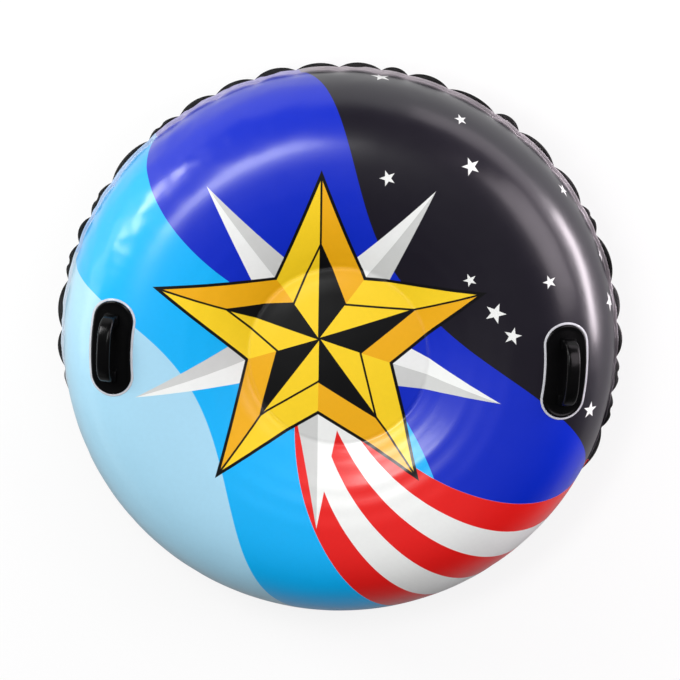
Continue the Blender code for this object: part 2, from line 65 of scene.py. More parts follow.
# Shape of the films, as the frame has it
SHEET = 0.0006
GAP = 0.0003
MERGE = 0.00001
SEAM_WIDTH = 0.015
SEAM_RADIUS = TUBE_RADIUS - SEAM_WIDTH
SEAM_Z = 0.105
CREST_INSET = 0.155
CREST_RADIUS = SEAM_RADIUS - CREST_INSET
SEAT_RADIUS = 0.157
SEAT_CREASE_DEPTH = 0.0375
SEAT_CROWN = 0.010
GROUND_OUTER_RADIUS = 0.375
GROUND_INNER_RADIUS = 0.275
UNDER_CREASE_Z = 0.050
VALVE_LAND_Z = 0.042
VALVE_HOLE_RADIUS = 0.0178
VALVE_LAND_RADIUS = 0.0365
TOP_CURVE = 0.87
UNDER_CURVE = 0.91

# Seam lobes and the puckers that run in from them
LOBES = 42
LOBE_COLUMNS = 12
COLUMNS = LOBES * LOBE_COLUMNS
LOBE_SEED = 11
LOBE_SHIFT = 0.20
LOBE_HEIGHTS = (0.78, 1.0)
LOBE_CURVE = 0.60
LOBE_REST = 0.04
LOBE_DEPTH = 0.0105
LOBE_TWIST = 0.0028
TWIST_CURVE = 1.5
LOBE_SKEW = 0.35
LOBE_BULGE = 0.0012
# How many lobes are double, and the depth, place and width of the dip between their halves
DOUBLE_SHARE = 0.16
DOUBLE_DIP = (0.45, 0.55, 0.10)
TOP_PLY_TRIM = 0.008
TOP_PLY_WAVE = 0.002
FLANGE_ROWS = 3

# Along the front the flange is folded down against the lower wall
FOLD = math.radians(78)
FOLD_MIDDLE = math.radians(-98)
FOLD_ENDS = (math.radians(66), math.radians(82))

# Crumpled stretch of the wall, where the film has slack
CRUMPLE_MIDDLE = math.radians(142)
CRUMPLE_WIDTH = math.radians(36)
CRUMPLE_ELSEWHERE = 0.16
CRUMPLE_RADII = (0.365, 0.425)
DENT_RISE = (0.003, 0.030)
# Unevenness in layers: waves to a radian round the tube and to a metre of film, place in the noise, share
DENT_LAYERS = ((7.5, 34, 0.3, 1.0), (22, 42, 4.2, 0.45))
CRINKLE_LAYERS = ((34, 22, 1.7, 1.0), (71, 60, 9.1, 0.5))
CRINKLE_EVERYWHERE = 0.5

# Rows of the turned films
SEAT_STEP = 0.0135
CREASE_STEP = 0.0032
CREASE_REACH = 0.022
SLOPE_STEP = 0.0066
LAND_STEP = 0.006
UNDER_CREASE_STEP = CREASE_STEP * 2
UNDER_SLOPE_STEP = SLOPE_STEP * 1.4
WALL_ROWS = 34
UNDER_WALL_ROWS = 24

# Softened weld crease round the seat
CREASE_ROUNDING = 0.004
CREASE_GROOVE = 0.0012
CREASE_GROOVE_WIDTH = 0.0042

# Soft rings that the film settles into on the seat's slope: radius, height, width, and the angle where it
# is highest. Its height is part even, part leaning to that angle, and part rippled
RING_SHARES = (0.55, 0.45, 0.2)
SLOPE_RINGS = (
    (0.188, 0.0009, 0.010, 4.9),
    (0.229, 0.0015, 0.011, 5.3),
    (0.262, 0.0012, 0.011, 4.4),
    (0.296, 0.0008, 0.013, 5.6),
    (0.118, 0.0007, 0.012, 1.2),
)
SWELL = 0.0006
SWELL_LENGTH = 0.16
SETTLE_RISE = (0.02, 0.10)

# Handles. A section's points are a margin from the handle's outline and a height over the film
HANDLE_SIDES = (("right", 0.0), ("left", math.pi))
HANDLE_RADIUS = 0.390
HANDLE_LENGTH = 0.164
HANDLE_WIDTH = 0.068
CENTRE_LINE = -HANDLE_WIDTH / 2
BEAN_SIDE_STEPS = 22
BEAN_END_STEPS = 18
BASE_FOOT = SHEET + GAP
BASE_TOP = BASE_FOOT + 0.0022
BASE_FACE = BASE_TOP - 0.0006
BASE_LIP = (
    (-0.0004, BASE_FOOT), (0.0, BASE_FOOT + 0.0004), (0.0, BASE_FOOT + 0.0011),
    (-0.0004, BASE_FOOT + 0.0019), (-0.0011, BASE_TOP + 0.0001), (-0.0022, BASE_TOP + 0.0005),
    (-0.0034, BASE_TOP + 0.0005), (-0.0046, BASE_TOP + 0.0002), (-0.0060, BASE_TOP - 0.0003),
    (-0.0085, BASE_FACE),
)
WELD_EDGE = (
    (GAP, BASE_FOOT), (GAP, BASE_FOOT + 0.0009), (0.0012, BASE_FOOT + 0.0011), (0.0026, BASE_FOOT + 0.0010),
    (0.0036, BASE_FOOT + 0.0006), (0.0041, BASE_FOOT + 0.0002), (0.0041, BASE_FOOT), (GAP, BASE_FOOT),
)
DOUBLER_EDGE = ((0.010, -GAP - SHEET), (0.010, -GAP))
# How far to each side the film's slope is taken, under a flat piece and under a grip
FILM_PROBE = 0.0005
GRIP_PROBE = 0.002
GRIP_LENGTH = 0.118
GRIP_HEIGHT = 0.038
GRIP_THICKNESS = 0.012
GRIP_FOOT = 0.020
GRIP_WIDTH = 0.024
GRIP_CURVE = 0.77
GRIP_ROWS = 15
GRIP_EDGE = 0.0052
GRIP_EDGE_SHARE = 0.45
# How the grip widens and thickens towards its feet
FLARE_HEIGHT = 0.010
FLARE_WIDTH = 0.010
FLARE_THICKNESS = 0.006

# Valve
SOCKET_BORE = 0.0150
SOCKET_OUTER = 0.0175
SOCKET_TOP_Z = 0.056
SOCKET_FOOT_Z = 0.039
SOCKET_FLANGE_RADIUS = 0.0315
SOCKET_FLANGE_Z = (0.0429, 0.0444)
SEAL_MIDDLE = (0.01625, 0.0377)
SEAL_RADIUS = 0.0010
RIM_RADIUS = 0.0185
RIM_Z = (0.0324, 0.0364)
RIM_NOTCHES = 8
RIM_NOTCH_DEPTH = 0.0012
RIM_NOTCH_REACH = 0.0030
RIM_NOTCH_HALF_ANGLE = 0.11
INSERT_RADIUS = SOCKET_BORE - GAP
CUP_RADIUS = INSERT_RADIUS - 0.0015
CUP_FLOOR_Z = 0.0384
INLET_RADIUS = 0.006
NECK_RADIUS = 0.008
NECK_FOOT_Z = 0.0279
INLET_TOP_Z = 0.0434
SPOKE_HALF_WIDTH = 0.0008
SPOKE_FOOT_Z = 0.0414
HUB_RADIUS = 0.0028
STEM_RADIUS = 0.0012
DISC_RADIUS = 0.0075
DISC_Z = (0.0437, 0.0445)
BULB_RADIUS = 0.0020
BULB_Z = (0.0381, 0.0387, 0.0393)
KEEPER_RADII = (0.0083, 0.0107)
KEEPER_Z = (0.0309, 0.0321)
CAP_BORE = 0.0086
CAP_RADIUS = 0.0102
CAP_Z = (0.0258, 0.0276, 0.0306)
CAP_CHAMFER = 0.0006
CAP_DISH_SHARES = (0.62, 0.52)
CAP_DISH_DEPTH = 0.0005
CAP_FLUTES = 30
CAP_FLUTE_DEPTH = 0.00025
TAB_HALF_WIDTH = 0.0025
TAB_HALF_HEIGHT = 0.0006
HINGE_X = 0.0132
HINGE_Z = 0.030
HINGE_BARREL = 0.0012
THREAD_PITCH = 0.004
THREAD_DEPTH = 0.0007
THREAD_ROWS = 44
# Where the thread's flank lies in a turn, and how it runs out above the rim and below the top
THREAD_FLANK = (0.14, 0.34)
THREAD_START_Z = (RIM_Z[1] + 0.0012, RIM_Z[1] + 0.0022)
THREAD_END_Z = (SOCKET_TOP_Z - 0.0014, SOCKET_TOP_Z - 0.0006)
VALVE_EDGE = 0.0003
INSERT_EDGE = VALVE_EDGE * 1.3
THREAD_MARGIN = VALVE_EDGE * 3
# A rounding takes at most a share of a side. A side that is many roundings long gets a point near each
# end, so that it looks flat under smooth shading
ROUNDING_MOST = 0.4
LONG_SIDE = 4
FLAT_FROM = 1.7
VALVE_COLUMNS = 120
BARREL_COLUMNS = 24

# The print, in metres on the flat film. A band's edge: its ink, place, sway, wave length and phase
UV_NAME = "print"
INK_EDGE = 0.0005
BAND_TURN = math.radians(-38)
BAND_EDGES = (
    ("cyan", -0.30, 0.060, 0.92, 0.6),
    ("royal", -0.035, 0.065, 1.05, 2.5),
    ("charcoal", 0.215, 0.050, 0.84, 4.4),
)
STAR_CENTRE = (-0.035, 0.030, 0.0)
STAR_RADIUS = 0.305
STAR_TURN = math.radians(20)
STAR_VALLEY = 0.44
INNER_STAR_SHARE = 0.56
STAR_OUTLINE = 0.0055
FACET_LINE = 0.0018
RAY_RADIUS = 0.335
RAY_VALLEY = 0.26
RAY_SHADE = 0.86
TAIL_TURN = math.radians(-62)
TAIL_STRIPES = 5
TAIL_STRIPE_ANGLE = math.radians(8.5)
TAIL_SWIRL = 1.35
TAIL_START = 0.55
SKY_CELLS = 7.0
SKY_SCATTER = 0.88
SKY_STAR_LEAST = 0.011
SKY_STAR_SPREAD = 0.010
SKY_STAR_VALLEY = 0.40
SKY_MARGIN = 0.022
# Painted sheen on the print's edge, paler towards the lit side: its width, how pale it gets, its colour, and
# the lit side
SHEEN_FADE = 0.030
SHEEN_SHARE = 0.64
SHEEN_COLOUR = (0.80, 0.77, 0.79)
LIT_SIDE = Vector((-0.34, 0.94, 0.0))
SHEEN_ENDS = (-0.38, 0.15)

# Film looks. A skin: its peel, slack, gloss and gloss spread. A weld band: how far outside its line it
# lies, half its width, and its depth. It is full over a share of its half width and then fades
WELD_FULL_SHARE = 0.85
FILM_PEEL = 0.000014
FILM_SLACK = 0.0007
FILM_GLOSS_SPREAD = 0.09
FILM_MOTTLE = (0.25, 0.75, 0.98, 1.0)
FILM_GLOSS = {"IOR": 1.53, "Specular_IOR_Level": 0.45, "Coat_Weight": 0.45, "Coat_Roughness": 0.20}
SEAM_WELD = (0.004, 0.0035, 0.00015)
CREASE_WELD = (0.0, 0.0028, 0.0001)
UNDER_SKIN = (0.00002, 0.0006, 0.33, 0.12)
UNDER_TONES = ((0.035, 0.035, 0.037), (0.060, 0.060, 0.060))
UNDER_SPECULAR = 0.3
UNDER_SEAM_WELD = (0.007, 0.0065, 0.00015)
UNDER_CREASE_WELD = (0.0, 0.0035, 0.0001)
LAND_WELD = (-0.006, 0.0055, 0.0001)

# Soft lights round the seat: azimuth and elevation in degrees, distance, width, height, power, colour
LIGHT_CENTRE = Vector((0.0, 0.0, 0.2))
WHITE = (1.0, 1.0, 1.0)
ROSE = (1.0, 0.90, 0.97)
SOFT_LIGHTS = {
    "overhead_softbox": (138, 68, 3.2, 1.5, 0.55, 32.0, WHITE),
    "left_window": (153, 27, 2.8, 0.9, 0.7, 30.0, WHITE),
    "right_screen": (22, 38, 3.2, 1.7, 1.5, 29.0, ROSE),
    "right_low_strip": (13, 1, 1.9, 1.05, 0.34, 23.0, ROSE),
    "back_right_strip": (47, 8, 2.3, 2.3, 0.8, 8.0, (1.0, 0.88, 0.97)),
    "left_low_strip": (176, 6, 2.3, 1.5, 0.7, 5.0, WHITE),
}
BRIGHT_SIDE = Vector((-0.35, 0.74, 0.57))
# How much of the floor's colour lights the tube, how far it is lifted to white where the camera sees it,
# and how white it looks in reflections from front to back
FLOOR_BOUNCE = 0.36
FLOOR_LIFT = 0.80
FLOOR_SHINE_ENDS = (-0.2, 0.5)
FLOOR_SHINE = (0.06, 1.0)
FLOOR_ROUGHNESS = 0.75
FLOOR_SIZE = 30.0
# How the surroundings look in reflections: white up to a height, and dimmer on the side away from the light
HORIZON_ENDS = (0.05, 0.45)
DIM_ENDS = (-0.55, -0.05)
DIM_SHARE = 0.15
CAMERA_TARGET = (0.0010, 0.0330, 0.2340)
CAMERA_REACH = 100.0


class FilmSettings(bpy.types.PropertyGroup):
    """How tightly the films are drawn at their seam, and how glossy they are."""

    pucker_least: bpy.props.FloatProperty(
        name="Least pucker", description="Depth of the shallowest pucker", default=0.0018, unit="LENGTH"
    )
    pucker_most: bpy.props.FloatProperty(
        name="Deepest pucker", description="Depth of the deepest pucker", default=0.0042, unit="LENGTH"
    )
    reach_least: bpy.props.FloatProperty(
        name="Least reach", description="How far up the wall a short pucker runs",
        default=0.026, unit="LENGTH",
    )
    reach_most: bpy.props.FloatProperty(
        name="Longest reach", description="How far up the wall a long pucker runs",
        default=0.072, unit="LENGTH",
    )
    crinkle: bpy.props.FloatProperty(
        name="Crinkle", description="Height of the fine creases beside the seam",
        default=0.0009, unit="LENGTH",
    )
    dents: bpy.props.FloatProperty(
        name="Dents", description="Depth of the soft dents in the slack part of the wall", default=0.0014,
        unit="LENGTH",
    )
    roughness: bpy.props.FloatProperty(
        name="Roughness", description="Roughness of the printed film", default=0.315, subtype="FACTOR"
    )


class PrintColours(bpy.types.PropertyGroup):
    """Inks of the printed film, as display colours."""

    ice: bpy.props.FloatVectorProperty(
        name="Ice blue", description="Palest band", default=(0.65, 0.84, 0.93), subtype="COLOR_GAMMA"
    )
    cyan: bpy.props.FloatVectorProperty(
        name="Cyan", description="Second band", default=(0.0, 0.69, 0.96), subtype="COLOR_GAMMA"
    )
    royal: bpy.props.FloatVectorProperty(
        name="Royal blue", description="Third band", default=(0.0, 0.15, 0.75), subtype="COLOR_GAMMA"
    )
    charcoal: bpy.props.FloatVectorProperty(
        name="Charcoal", description="Darkest band", default=(0.095, 0.082, 0.125), subtype="COLOR_GAMMA"
    )
    yellow: bpy.props.FloatVectorProperty(
        name="Yellow", description="Light half of each point of the big star", default=(0.97, 0.82, 0.12),
        subtype="COLOR_GAMMA",
    )
    amber: bpy.props.FloatVectorProperty(
        name="Amber", description="Shaded half of each point of the big star", default=(0.93, 0.68, 0.05),
        subtype="COLOR_GAMMA",
    )
    red: bpy.props.FloatVectorProperty(
        name="Red", description="Stripes of the tail", default=(0.90, 0.10, 0.09), subtype="COLOR_GAMMA"
    )
    white: bpy.props.FloatVectorProperty(
        name="White", description="Small stars and pale stripes",
        default=(0.93, 0.94, 0.93), subtype="COLOR_GAMMA",
    )
    black: bpy.props.FloatVectorProperty(
        name="Black", description="Outlines", default=(0.03, 0.03, 0.035), subtype="COLOR_GAMMA"
    )


class StageSettings(bpy.types.PropertyGroup):
    """Floor, lights and camera."""

    floor_colour: bpy.props.FloatVectorProperty(
        name="Floor", description="Colour of the floor", default=(0.97, 0.97, 0.97), subtype="COLOR"
    )
    world_level: bpy.props.FloatProperty(
        name="World", description="Strength of the soft light from all round", default=0.24
    )
    lean: bpy.props.FloatProperty(
        name="Lean", description="How much stronger that light is from the bright side", default=2.4
    )
    zenith: bpy.props.FloatProperty(
        name="Zenith", description="How bright the surroundings look straight overhead",
        default=0.04, subtype="FACTOR",
    )
    elevation: bpy.props.FloatProperty(
        name="Elevation", description="Camera's height above the horizon", default=math.radians(77),
        subtype="ANGLE",
    )
    roll: bpy.props.FloatProperty(
        name="Roll", description="Camera's turn about its own axis",
        default=math.radians(3), subtype="ANGLE",
    )
    distance: bpy.props.FloatProperty(
        name="Distance", description="From the camera to the seat", default=6.5, unit="LENGTH"
    )
    lens: bpy.props.FloatProperty(
        name="Lens", description="Focal length of the camera", default=201.0, unit="CAMERA"
    )


def linear(colour):
    """A display colour as the scene-linear colour that a shader takes."""
    parts = [part / 12.92 if part <= 0.04045 else ((part + 0.055) / 1.055) ** 2.4 for part in colour]
    return (*parts, 1.0)


def feed(tree, target, value):
    """Links a socket to a node's input, or sets the input to a plain value."""
    if isinstance(value, bpy.types.NodeSocket):
        tree.links.new(value, target)
    else:
        target.default_value = value


def feed_named(tree, node, **values):
    """Feeds a node's inputs by name. Underscores in the names stand for spaces."""
    for name, value in values.items():
        feed(tree, node.inputs[name.replace("_", " ")], value)


def add_node(tree, kind, *values, **settings):
    """A new node with some of its properties set and its first inputs fed."""
    node = tree.nodes.new("ShaderNode" + kind)
    for name, value in settings.items():
        setattr(node, name, value)
    for target, value in zip(node.inputs, values):
        feed(tree, target, value)
    return node


def sums(tree, operation, *values):
    """The result of a Math node."""
    return add_node(tree, "Math", *values, operation=operation).outputs[0]


def vectors(tree, operation, *values, output="Vector"):
    """A result of a Vector Math node."""
    return add_node(tree, "VectorMath", *values, operation=operation).outputs[output]


def plan_parts(tree, vector):
    """A vector's X and Y."""
    parts = add_node(tree, "SeparateXYZ", vector).outputs
    return parts[0], parts[1]


def plan_reach(tree, across, up):
    """The length of a vector in plan."""
    return sums(tree, "SQRT", sums(tree, "MULTIPLY_ADD", across, across, sums(tree, "MULTIPLY", up, up)))


def ramp(tree, value, low, high, start=0.0, end=1.0):
    """A value eased from start to end while it goes from low to high."""
    node = add_node(tree, "MapRange", value, low, high, start, end, interpolation_type="SMOOTHSTEP")
    return node.outputs[0]


def blend_colour(tree, share, below, above, **settings):
    """One colour laid over another by a share."""
    node = add_node(tree, "Mix", share, data_type="RGBA", **settings)
    feed(tree, node.inputs[6], below)
    feed(tree, node.inputs[7], above)
    return node.outputs[2]


def speckle(tree, vector, scale, detail=2.0, roughness=0.5):
    """A Noise texture's value."""
    node = add_node(tree, "TexNoise")
    feed_named(tree, node, Vector=vector, Scale=scale, Detail=detail, Roughness=roughness)
    return node.outputs["Fac"]


def new_group(name, outputs, **inputs):
    """A shader node group with a Vector input, more inputs with their defaults, and outputs for numbers."""
    group = bpy.data.node_groups.new(name, "ShaderNodeTree")
    for label, default in {"Vector": (0.0, 0.0, 0.0), **inputs}.items():
        kind = "NodeSocketFloat" if isinstance(default, float) else "NodeSocketVector"
        socket = group.interface.new_socket(label.replace("_", " "), in_out="INPUT", socket_type=kind)
        socket.default_value = default
    for label in outputs:
        group.interface.new_socket(label, in_out="OUTPUT", socket_type="NodeSocketFloat")
    return group, group.nodes.new("NodeGroupInput").outputs, group.nodes.new("NodeGroupOutput")


def effect(tree, maker, *values):
    """The outputs of a shared group in a tree. The group is made the first time that it is asked for."""
    group = bpy.data.node_groups.get(maker.__name__) or maker()
    return add_node(tree, "Group", *values, node_tree=group).outputs


def five_point_star():
    """How deep a point lies inside a five-pointed star, and which half of a star's point it is on."""
    group, given, result = new_group(
        "five_point_star", ("Depth", "Half", "Fold"),
        Centre=(0.0, 0.0, 0.0), Radius=0.1, Turn=0.0, Valley=0.42,
    )
    sector = math.tau / 5
    valley = given["Valley"]
    across, up = plan_parts(group, vectors(group, "SUBTRACT", given["Vector"], given["Centre"]))
    reach = plan_reach(group, across, up)
    angle = sums(group, "SUBTRACT", sums(group, "ARCTAN2", up, across), given["Turn"])
    from_tip = sums(group, "SUBTRACT", sums(group, "FLOORED_MODULO", angle, sector), sector / 2)
    off_tip = sums(group, "SUBTRACT", sector / 2, sums(group, "ABSOLUTE", from_tip))
    along = sums(group, "MULTIPLY", reach, sums(group, "COSINE", off_tip))
    aside = sums(group, "MULTIPLY", reach, sums(group, "SINE", off_tip))
    slope_x = sums(group, "MULTIPLY", valley, math.sin(sector / 2))
    slope_y = sums(group, "SUBTRACT", 1.0, sums(group, "MULTIPLY", valley, math.cos(sector / 2)))
    spare = sums(group, "SUBTRACT", given["Radius"], along)
    depth = sums(group, "MULTIPLY", slope_x, spare)
    depth = sums(group, "SUBTRACT", depth, sums(group, "MULTIPLY", slope_y, aside))
    depth = sums(group, "DIVIDE", depth, plan_reach(group, slope_x, slope_y))
    feed_named(group, result, Depth=depth, Half=sums(group, "GREATER_THAN", from_tip, 0.0), Fold=aside)
    return group


def wavy_edge():
    """How far a point lies past a wavy line."""
    group, given, result = new_group(
        "wavy_edge", ("Past",), Turn=0.0, Place=0.0, Sway=0.05, Length=1.0, Phase=0.0
    )
    turned = add_node(group, "VectorRotate", rotation_type="Z_AXIS")
    feed_named(group, turned, Vector=given["Vector"], Angle=given["Turn"])
    across, up = plan_parts(group, turned.outputs[0])
    beat = sums(group, "DIVIDE", sums(group, "MULTIPLY", up, math.tau), given["Length"])
    wave = sums(group, "SINE", sums(group, "ADD", beat, given["Phase"]))
    wave = sums(group, "MULTIPLY", wave, given["Sway"])
    past = sums(group, "SUBTRACT", sums(group, "SUBTRACT", across, given["Place"]), wave)
    feed_named(group, result, Past=past)
    return group


def blown_film():
    """The skin of a blown plastic film: faint orange peel, slack patches and uneven gloss."""
    group, given, result = new_group(
        "blown_film", ("Height", "Roughness", "Mottle"),
        Peel=0.00002, Slack=0.0004, Gloss=0.3, Gloss_spread=0.05,
    )
    place = given["Vector"]
    peel = sums(group, "MULTIPLY", speckle(group, place, 140.0, 1.0), given["Peel"])
    slack = sums(group, "MULTIPLY", speckle(group, place, 13.0, 1.5), given["Slack"])
    smear = sums(group, "SUBTRACT", speckle(group, place, 26.0, 5.0, 0.62), 0.5)
    rough = sums(group, "MULTIPLY_ADD", smear, given["Gloss spread"], given["Gloss"])
    height = sums(group, "ADD", peel, slack)
    feed_named(group, result, Height=height, Roughness=rough, Mottle=speckle(group, place, 120.0))
    return group


def weld_grain():
    """The fine lattice that a welding bar presses into a round band of film."""
    group, given, result = new_group(
        "weld_grain", ("Height", "Band"), Radius=0.1, Half_width=0.003, Deep=0.00015, Pitch=0.0022
    )
    across, up = plan_parts(group, given["Vector"])
    reach = plan_reach(group, across, up)
    off = sums(group, "ABSOLUTE", sums(group, "SUBTRACT", reach, given["Radius"]))
    inner = sums(group, "MULTIPLY", given["Half width"], WELD_FULL_SHARE)
    band = ramp(group, off, inner, given["Half width"], 1.0, 0.0)
    round_way = sums(group, "MULTIPLY", sums(group, "ARCTAN2", up, across), given["Radius"])
    ridges = []
    for lean in (1.0, -1.0):
        slant = sums(group, "MULTIPLY", sums(group, "MULTIPLY_ADD", reach, lean, round_way), math.tau)
        ridges.append(sums(group, "SINE", sums(group, "DIVIDE", slant, given["Pitch"])))
    pressed = sums(group, "SUBTRACT", sums(group, "MULTIPLY", *ridges), 1.0)
    height = sums(group, "MULTIPLY", sums(group, "MULTIPLY", pressed, band), given["Deep"])
    feed_named(group, result, Height=height, Band=band)
    return group


def moulded_skin():
    """The skin of a moulded plastic piece: fine grain, flow marks and rubbed patches."""
    group, given, result = new_group(
        "moulded_skin", ("Height", "Roughness", "Mottle"),
        Grain=0.00003, Grain_scale=900.0, Gloss=0.3, Gloss_spread=0.1,
    )
    place = given["Vector"]
    grain = sums(group, "MULTIPLY", speckle(group, place, given["Grain scale"], 3.0), given["Grain"])
    rub = sums(group, "SUBTRACT", speckle(group, place, 45.0, 6.0, 0.65), 0.5)
    rough = sums(group, "MULTIPLY_ADD", rub, given["Gloss spread"], given["Gloss"])
    feed_named(group, result, Height=grain, Roughness=rough, Mottle=speckle(group, place, 60.0, 3.0))
    return group


def new_material(name):
    """A material with its tree and its Principled shader."""
    made = bpy.data.materials.new(name)
    made.use_nodes = True
    return made, made.node_tree, made.node_tree.nodes["Principled BSDF"]


def object_place(tree):
    """Object coordinates."""
    return add_node(tree, "TexCoord").outputs["Object"]


def print_place(tree, reach):
    """A film's own coordinates as if it lay flat, in metres from its centre."""
    chart = add_node(tree, "UVMap", uv_map=UV_NAME)
    middle = vectors(tree, "SUBTRACT", chart.outputs[0], (0.5, 0.5, 0.0))
    return vectors(tree, "MULTIPLY", middle, (reach * 2, reach * 2, 0.0))


def dress_shader(tree, shader, skin, colour, height, **plain):
    """A shader's colour, the gloss of a skin, a height in metres as its bump, and its plain values."""
    node = add_node(tree, "Bump")
    feed_named(tree, node, Strength=1.0, Distance=1.0, Height=height)
    feed_named(tree, shader, Base_Color=colour, Roughness=skin["Roughness"], Normal=node.outputs[0])
    feed_named(tree, shader, **plain)


def pressed_welds(tree, place, height, *welds):
    """A height with weld bands pressed into it. Each comes with the radius of its line."""
    for radius, (outside, half_width, deep) in welds:
        grain = effect(tree, weld_grain, place, radius + outside, half_width, deep)
        height = sums(tree, "ADD", height, grain["Height"])
    return height


def ink_mask(tree, depth):
    """A crisp ink edge where a depth passes zero."""
    return ramp(tree, depth, -INK_EDGE, INK_EDGE)


def band_colours(tree, place, inks):
    """Four wavy bands of colour."""
    colour = linear(inks.ice)
    for name, *edge in BAND_EDGES:
        past = effect(tree, wavy_edge, place, BAND_TURN, *edge)["Past"]
        colour = blend_colour(tree, ink_mask(tree, past), colour, linear(getattr(inks, name)))
    return colour


def sky_stars(tree, place, inks, colour):
    """Small whole stars scattered over the darkest band."""
    cells = add_node(tree, "TexVoronoi", voronoi_dimensions="2D")
    feed_named(tree, cells, Vector=place, Scale=SKY_CELLS, Randomness=SKY_SCATTER)
    centre = cells.outputs["Position"]
    chance = add_node(tree, "SeparateColor", cells.outputs["Color"]).outputs
    radius = sums(tree, "MULTIPLY_ADD", chance[1], SKY_STAR_SPREAD, SKY_STAR_LEAST)
    turn = sums(tree, "MULTIPLY", chance[0], math.tau / 5)
    star = effect(tree, five_point_star, place, centre, radius, turn, SKY_STAR_VALLEY)
    past = effect(tree, wavy_edge, centre, BAND_TURN, *BAND_EDGES[-1][1:])["Past"]
    night = sums(tree, "GREATER_THAN", past, SKY_MARGIN)
    shown = sums(tree, "MULTIPLY", ink_mask(tree, star["Depth"]), night)
    return blend_colour(tree, shown, colour, linear(inks.white))


def tail_stripes(tree, place, inks, colour):
    """Red and white stripes that widen and curve away from the big star."""
    offset = vectors(tree, "SUBTRACT", place, STAR_CENTRE)
    across, up = plan_parts(tree, offset)
    reach = vectors(tree, "LENGTH", offset, output="Value")
    angle = sums(tree, "SUBTRACT", sums(tree, "ARCTAN2", up, across), TAIL_TURN)
    swirled = sums(tree, "MULTIPLY_ADD", reach, -TAIL_SWIRL, sums(tree, "ADD", angle, TAIL_START))
    step = sums(tree, "DIVIDE", swirled, TAIL_STRIPE_ANGLE)
    half = TAIL_STRIPES / 2
    inside = sums(tree, "SUBTRACT", half, sums(tree, "ABSOLUTE", step))
    spread = sums(tree, "MULTIPLY", inside, sums(tree, "MULTIPLY", reach, TAIL_STRIPE_ANGLE))
    red_side = sums(tree, "PINGPONG", sums(tree, "ADD", sums(tree, "ADD", step, half), 0.5), 1.0)
    width = sums(tree, "MULTIPLY", sums(tree, "SUBTRACT", red_side, 0.5), reach)
    red = ink_mask(tree, sums(tree, "MULTIPLY", width, TAIL_STRIPE_ANGLE))
    stripe = blend_colour(tree, red, linear(inks.white), linear(inks.red))
    return blend_colour(tree, ink_mask(tree, spread), colour, stripe)


def big_star(tree, place, inks, colour):
    """A faceted star with black outlines, on a star of slim pale rays."""
    white, yellow, black = linear(inks.white), linear(inks.yellow), linear(inks.black)
    rays, outer, inner = (
        effect(tree, five_point_star, place, STAR_CENTRE, radius, turn, valley)
        for radius, turn, valley in (
            (RAY_RADIUS, STAR_TURN + math.tau / 10, RAY_VALLEY),
            (STAR_RADIUS, STAR_TURN, STAR_VALLEY),
            (STAR_RADIUS * INNER_STAR_SHARE, STAR_TURN, STAR_VALLEY),
        )
    )
    shade = blend_colour(tree, rays["Half"], white, linear([part * RAY_SHADE for part in inks.white]))
    colour = blend_colour(tree, ink_mask(tree, rays["Depth"]), colour, shade)
    facets = blend_colour(tree, outer["Half"], yellow, linear(inks.amber))
    core = blend_colour(tree, outer["Half"], yellow, black)
    facets = blend_colour(tree, ink_mask(tree, inner["Depth"]), facets, core)
    outline = sums(tree, "SUBTRACT", STAR_OUTLINE, outer["Depth"])
    ring = sums(tree, "SUBTRACT", FACET_LINE, sums(tree, "ABSOLUTE", inner["Depth"]))
    fold = sums(tree, "SUBTRACT", FACET_LINE, outer["Fold"])
    line = sums(tree, "MAXIMUM", sums(tree, "MAXIMUM", outline, ring), fold)
    facets = blend_colour(tree, ink_mask(tree, line), facets, black)
    return blend_colour(tree, ink_mask(tree, outer["Depth"]), colour, facets)


def printed_film(settings, inks, reach, seam_reach, crease_reach):
    """Glossy printed film: the design, a painted sheen on its edge towards the lit side, weld bands and the
    film's skin.
    """
    made, tree, shader = new_material("printed_film_look")
    place = print_place(tree, reach)
    colour = band_colours(tree, place, inks)
    for design in (sky_stars, tail_stripes, big_star):
        colour = design(tree, place, inks, colour)
    # Painted sheen: the edge of the print is blended to a pale colour on the lit side only, where reflected
    # light would haze the rim
    along = vectors(tree, "DOT_PRODUCT", place, LIT_SIDE, output="Value")
    lit_share = ramp(tree, along, *SHEEN_ENDS, 0.0, SHEEN_SHARE)
    painted_sheen = ramp(tree, vectors(tree, "LENGTH", place, output="Value"), reach - SHEEN_FADE, reach, 0.0, lit_share)
    colour = blend_colour(tree, painted_sheen, colour, linear(SHEEN_COLOUR))
    spot = object_place(tree)
    skin = effect(tree, blown_film, spot, FILM_PEEL, FILM_SLACK, settings.roughness, FILM_GLOSS_SPREAD)
    tint = ramp(tree, skin["Mottle"], *FILM_MOTTLE)
    colour = blend_colour(tree, 1.0, colour, tint, blend_type="MULTIPLY")
    height = pressed_welds(tree, place, skin["Height"], (seam_reach, SEAM_WELD), (crease_reach, CREASE_WELD))
    dress_shader(tree, shader, skin, colour, height, **FILM_GLOSS)
    return made


def under_film(reach, seam_reach, crease_reach):
    """Black film of the underside, with the marks of its welds."""
    made, tree, shader = new_material("under_film_look")
    place = print_place(tree, reach)
    skin = effect(tree, blown_film, object_place(tree), *UNDER_SKIN)
    tone = blend_colour(tree, skin["Mottle"], *map(linear, UNDER_TONES))
    radii = (seam_reach, crease_reach, SOCKET_FLANGE_RADIUS)
    welds = zip(radii, (UNDER_SEAM_WELD, UNDER_CREASE_WELD, LAND_WELD))
    height = pressed_welds(tree, place, skin["Height"], *welds)
    dress_shader(tree, shader, skin, tone, height, Specular_IOR_Level=UNDER_SPECULAR)
    return made


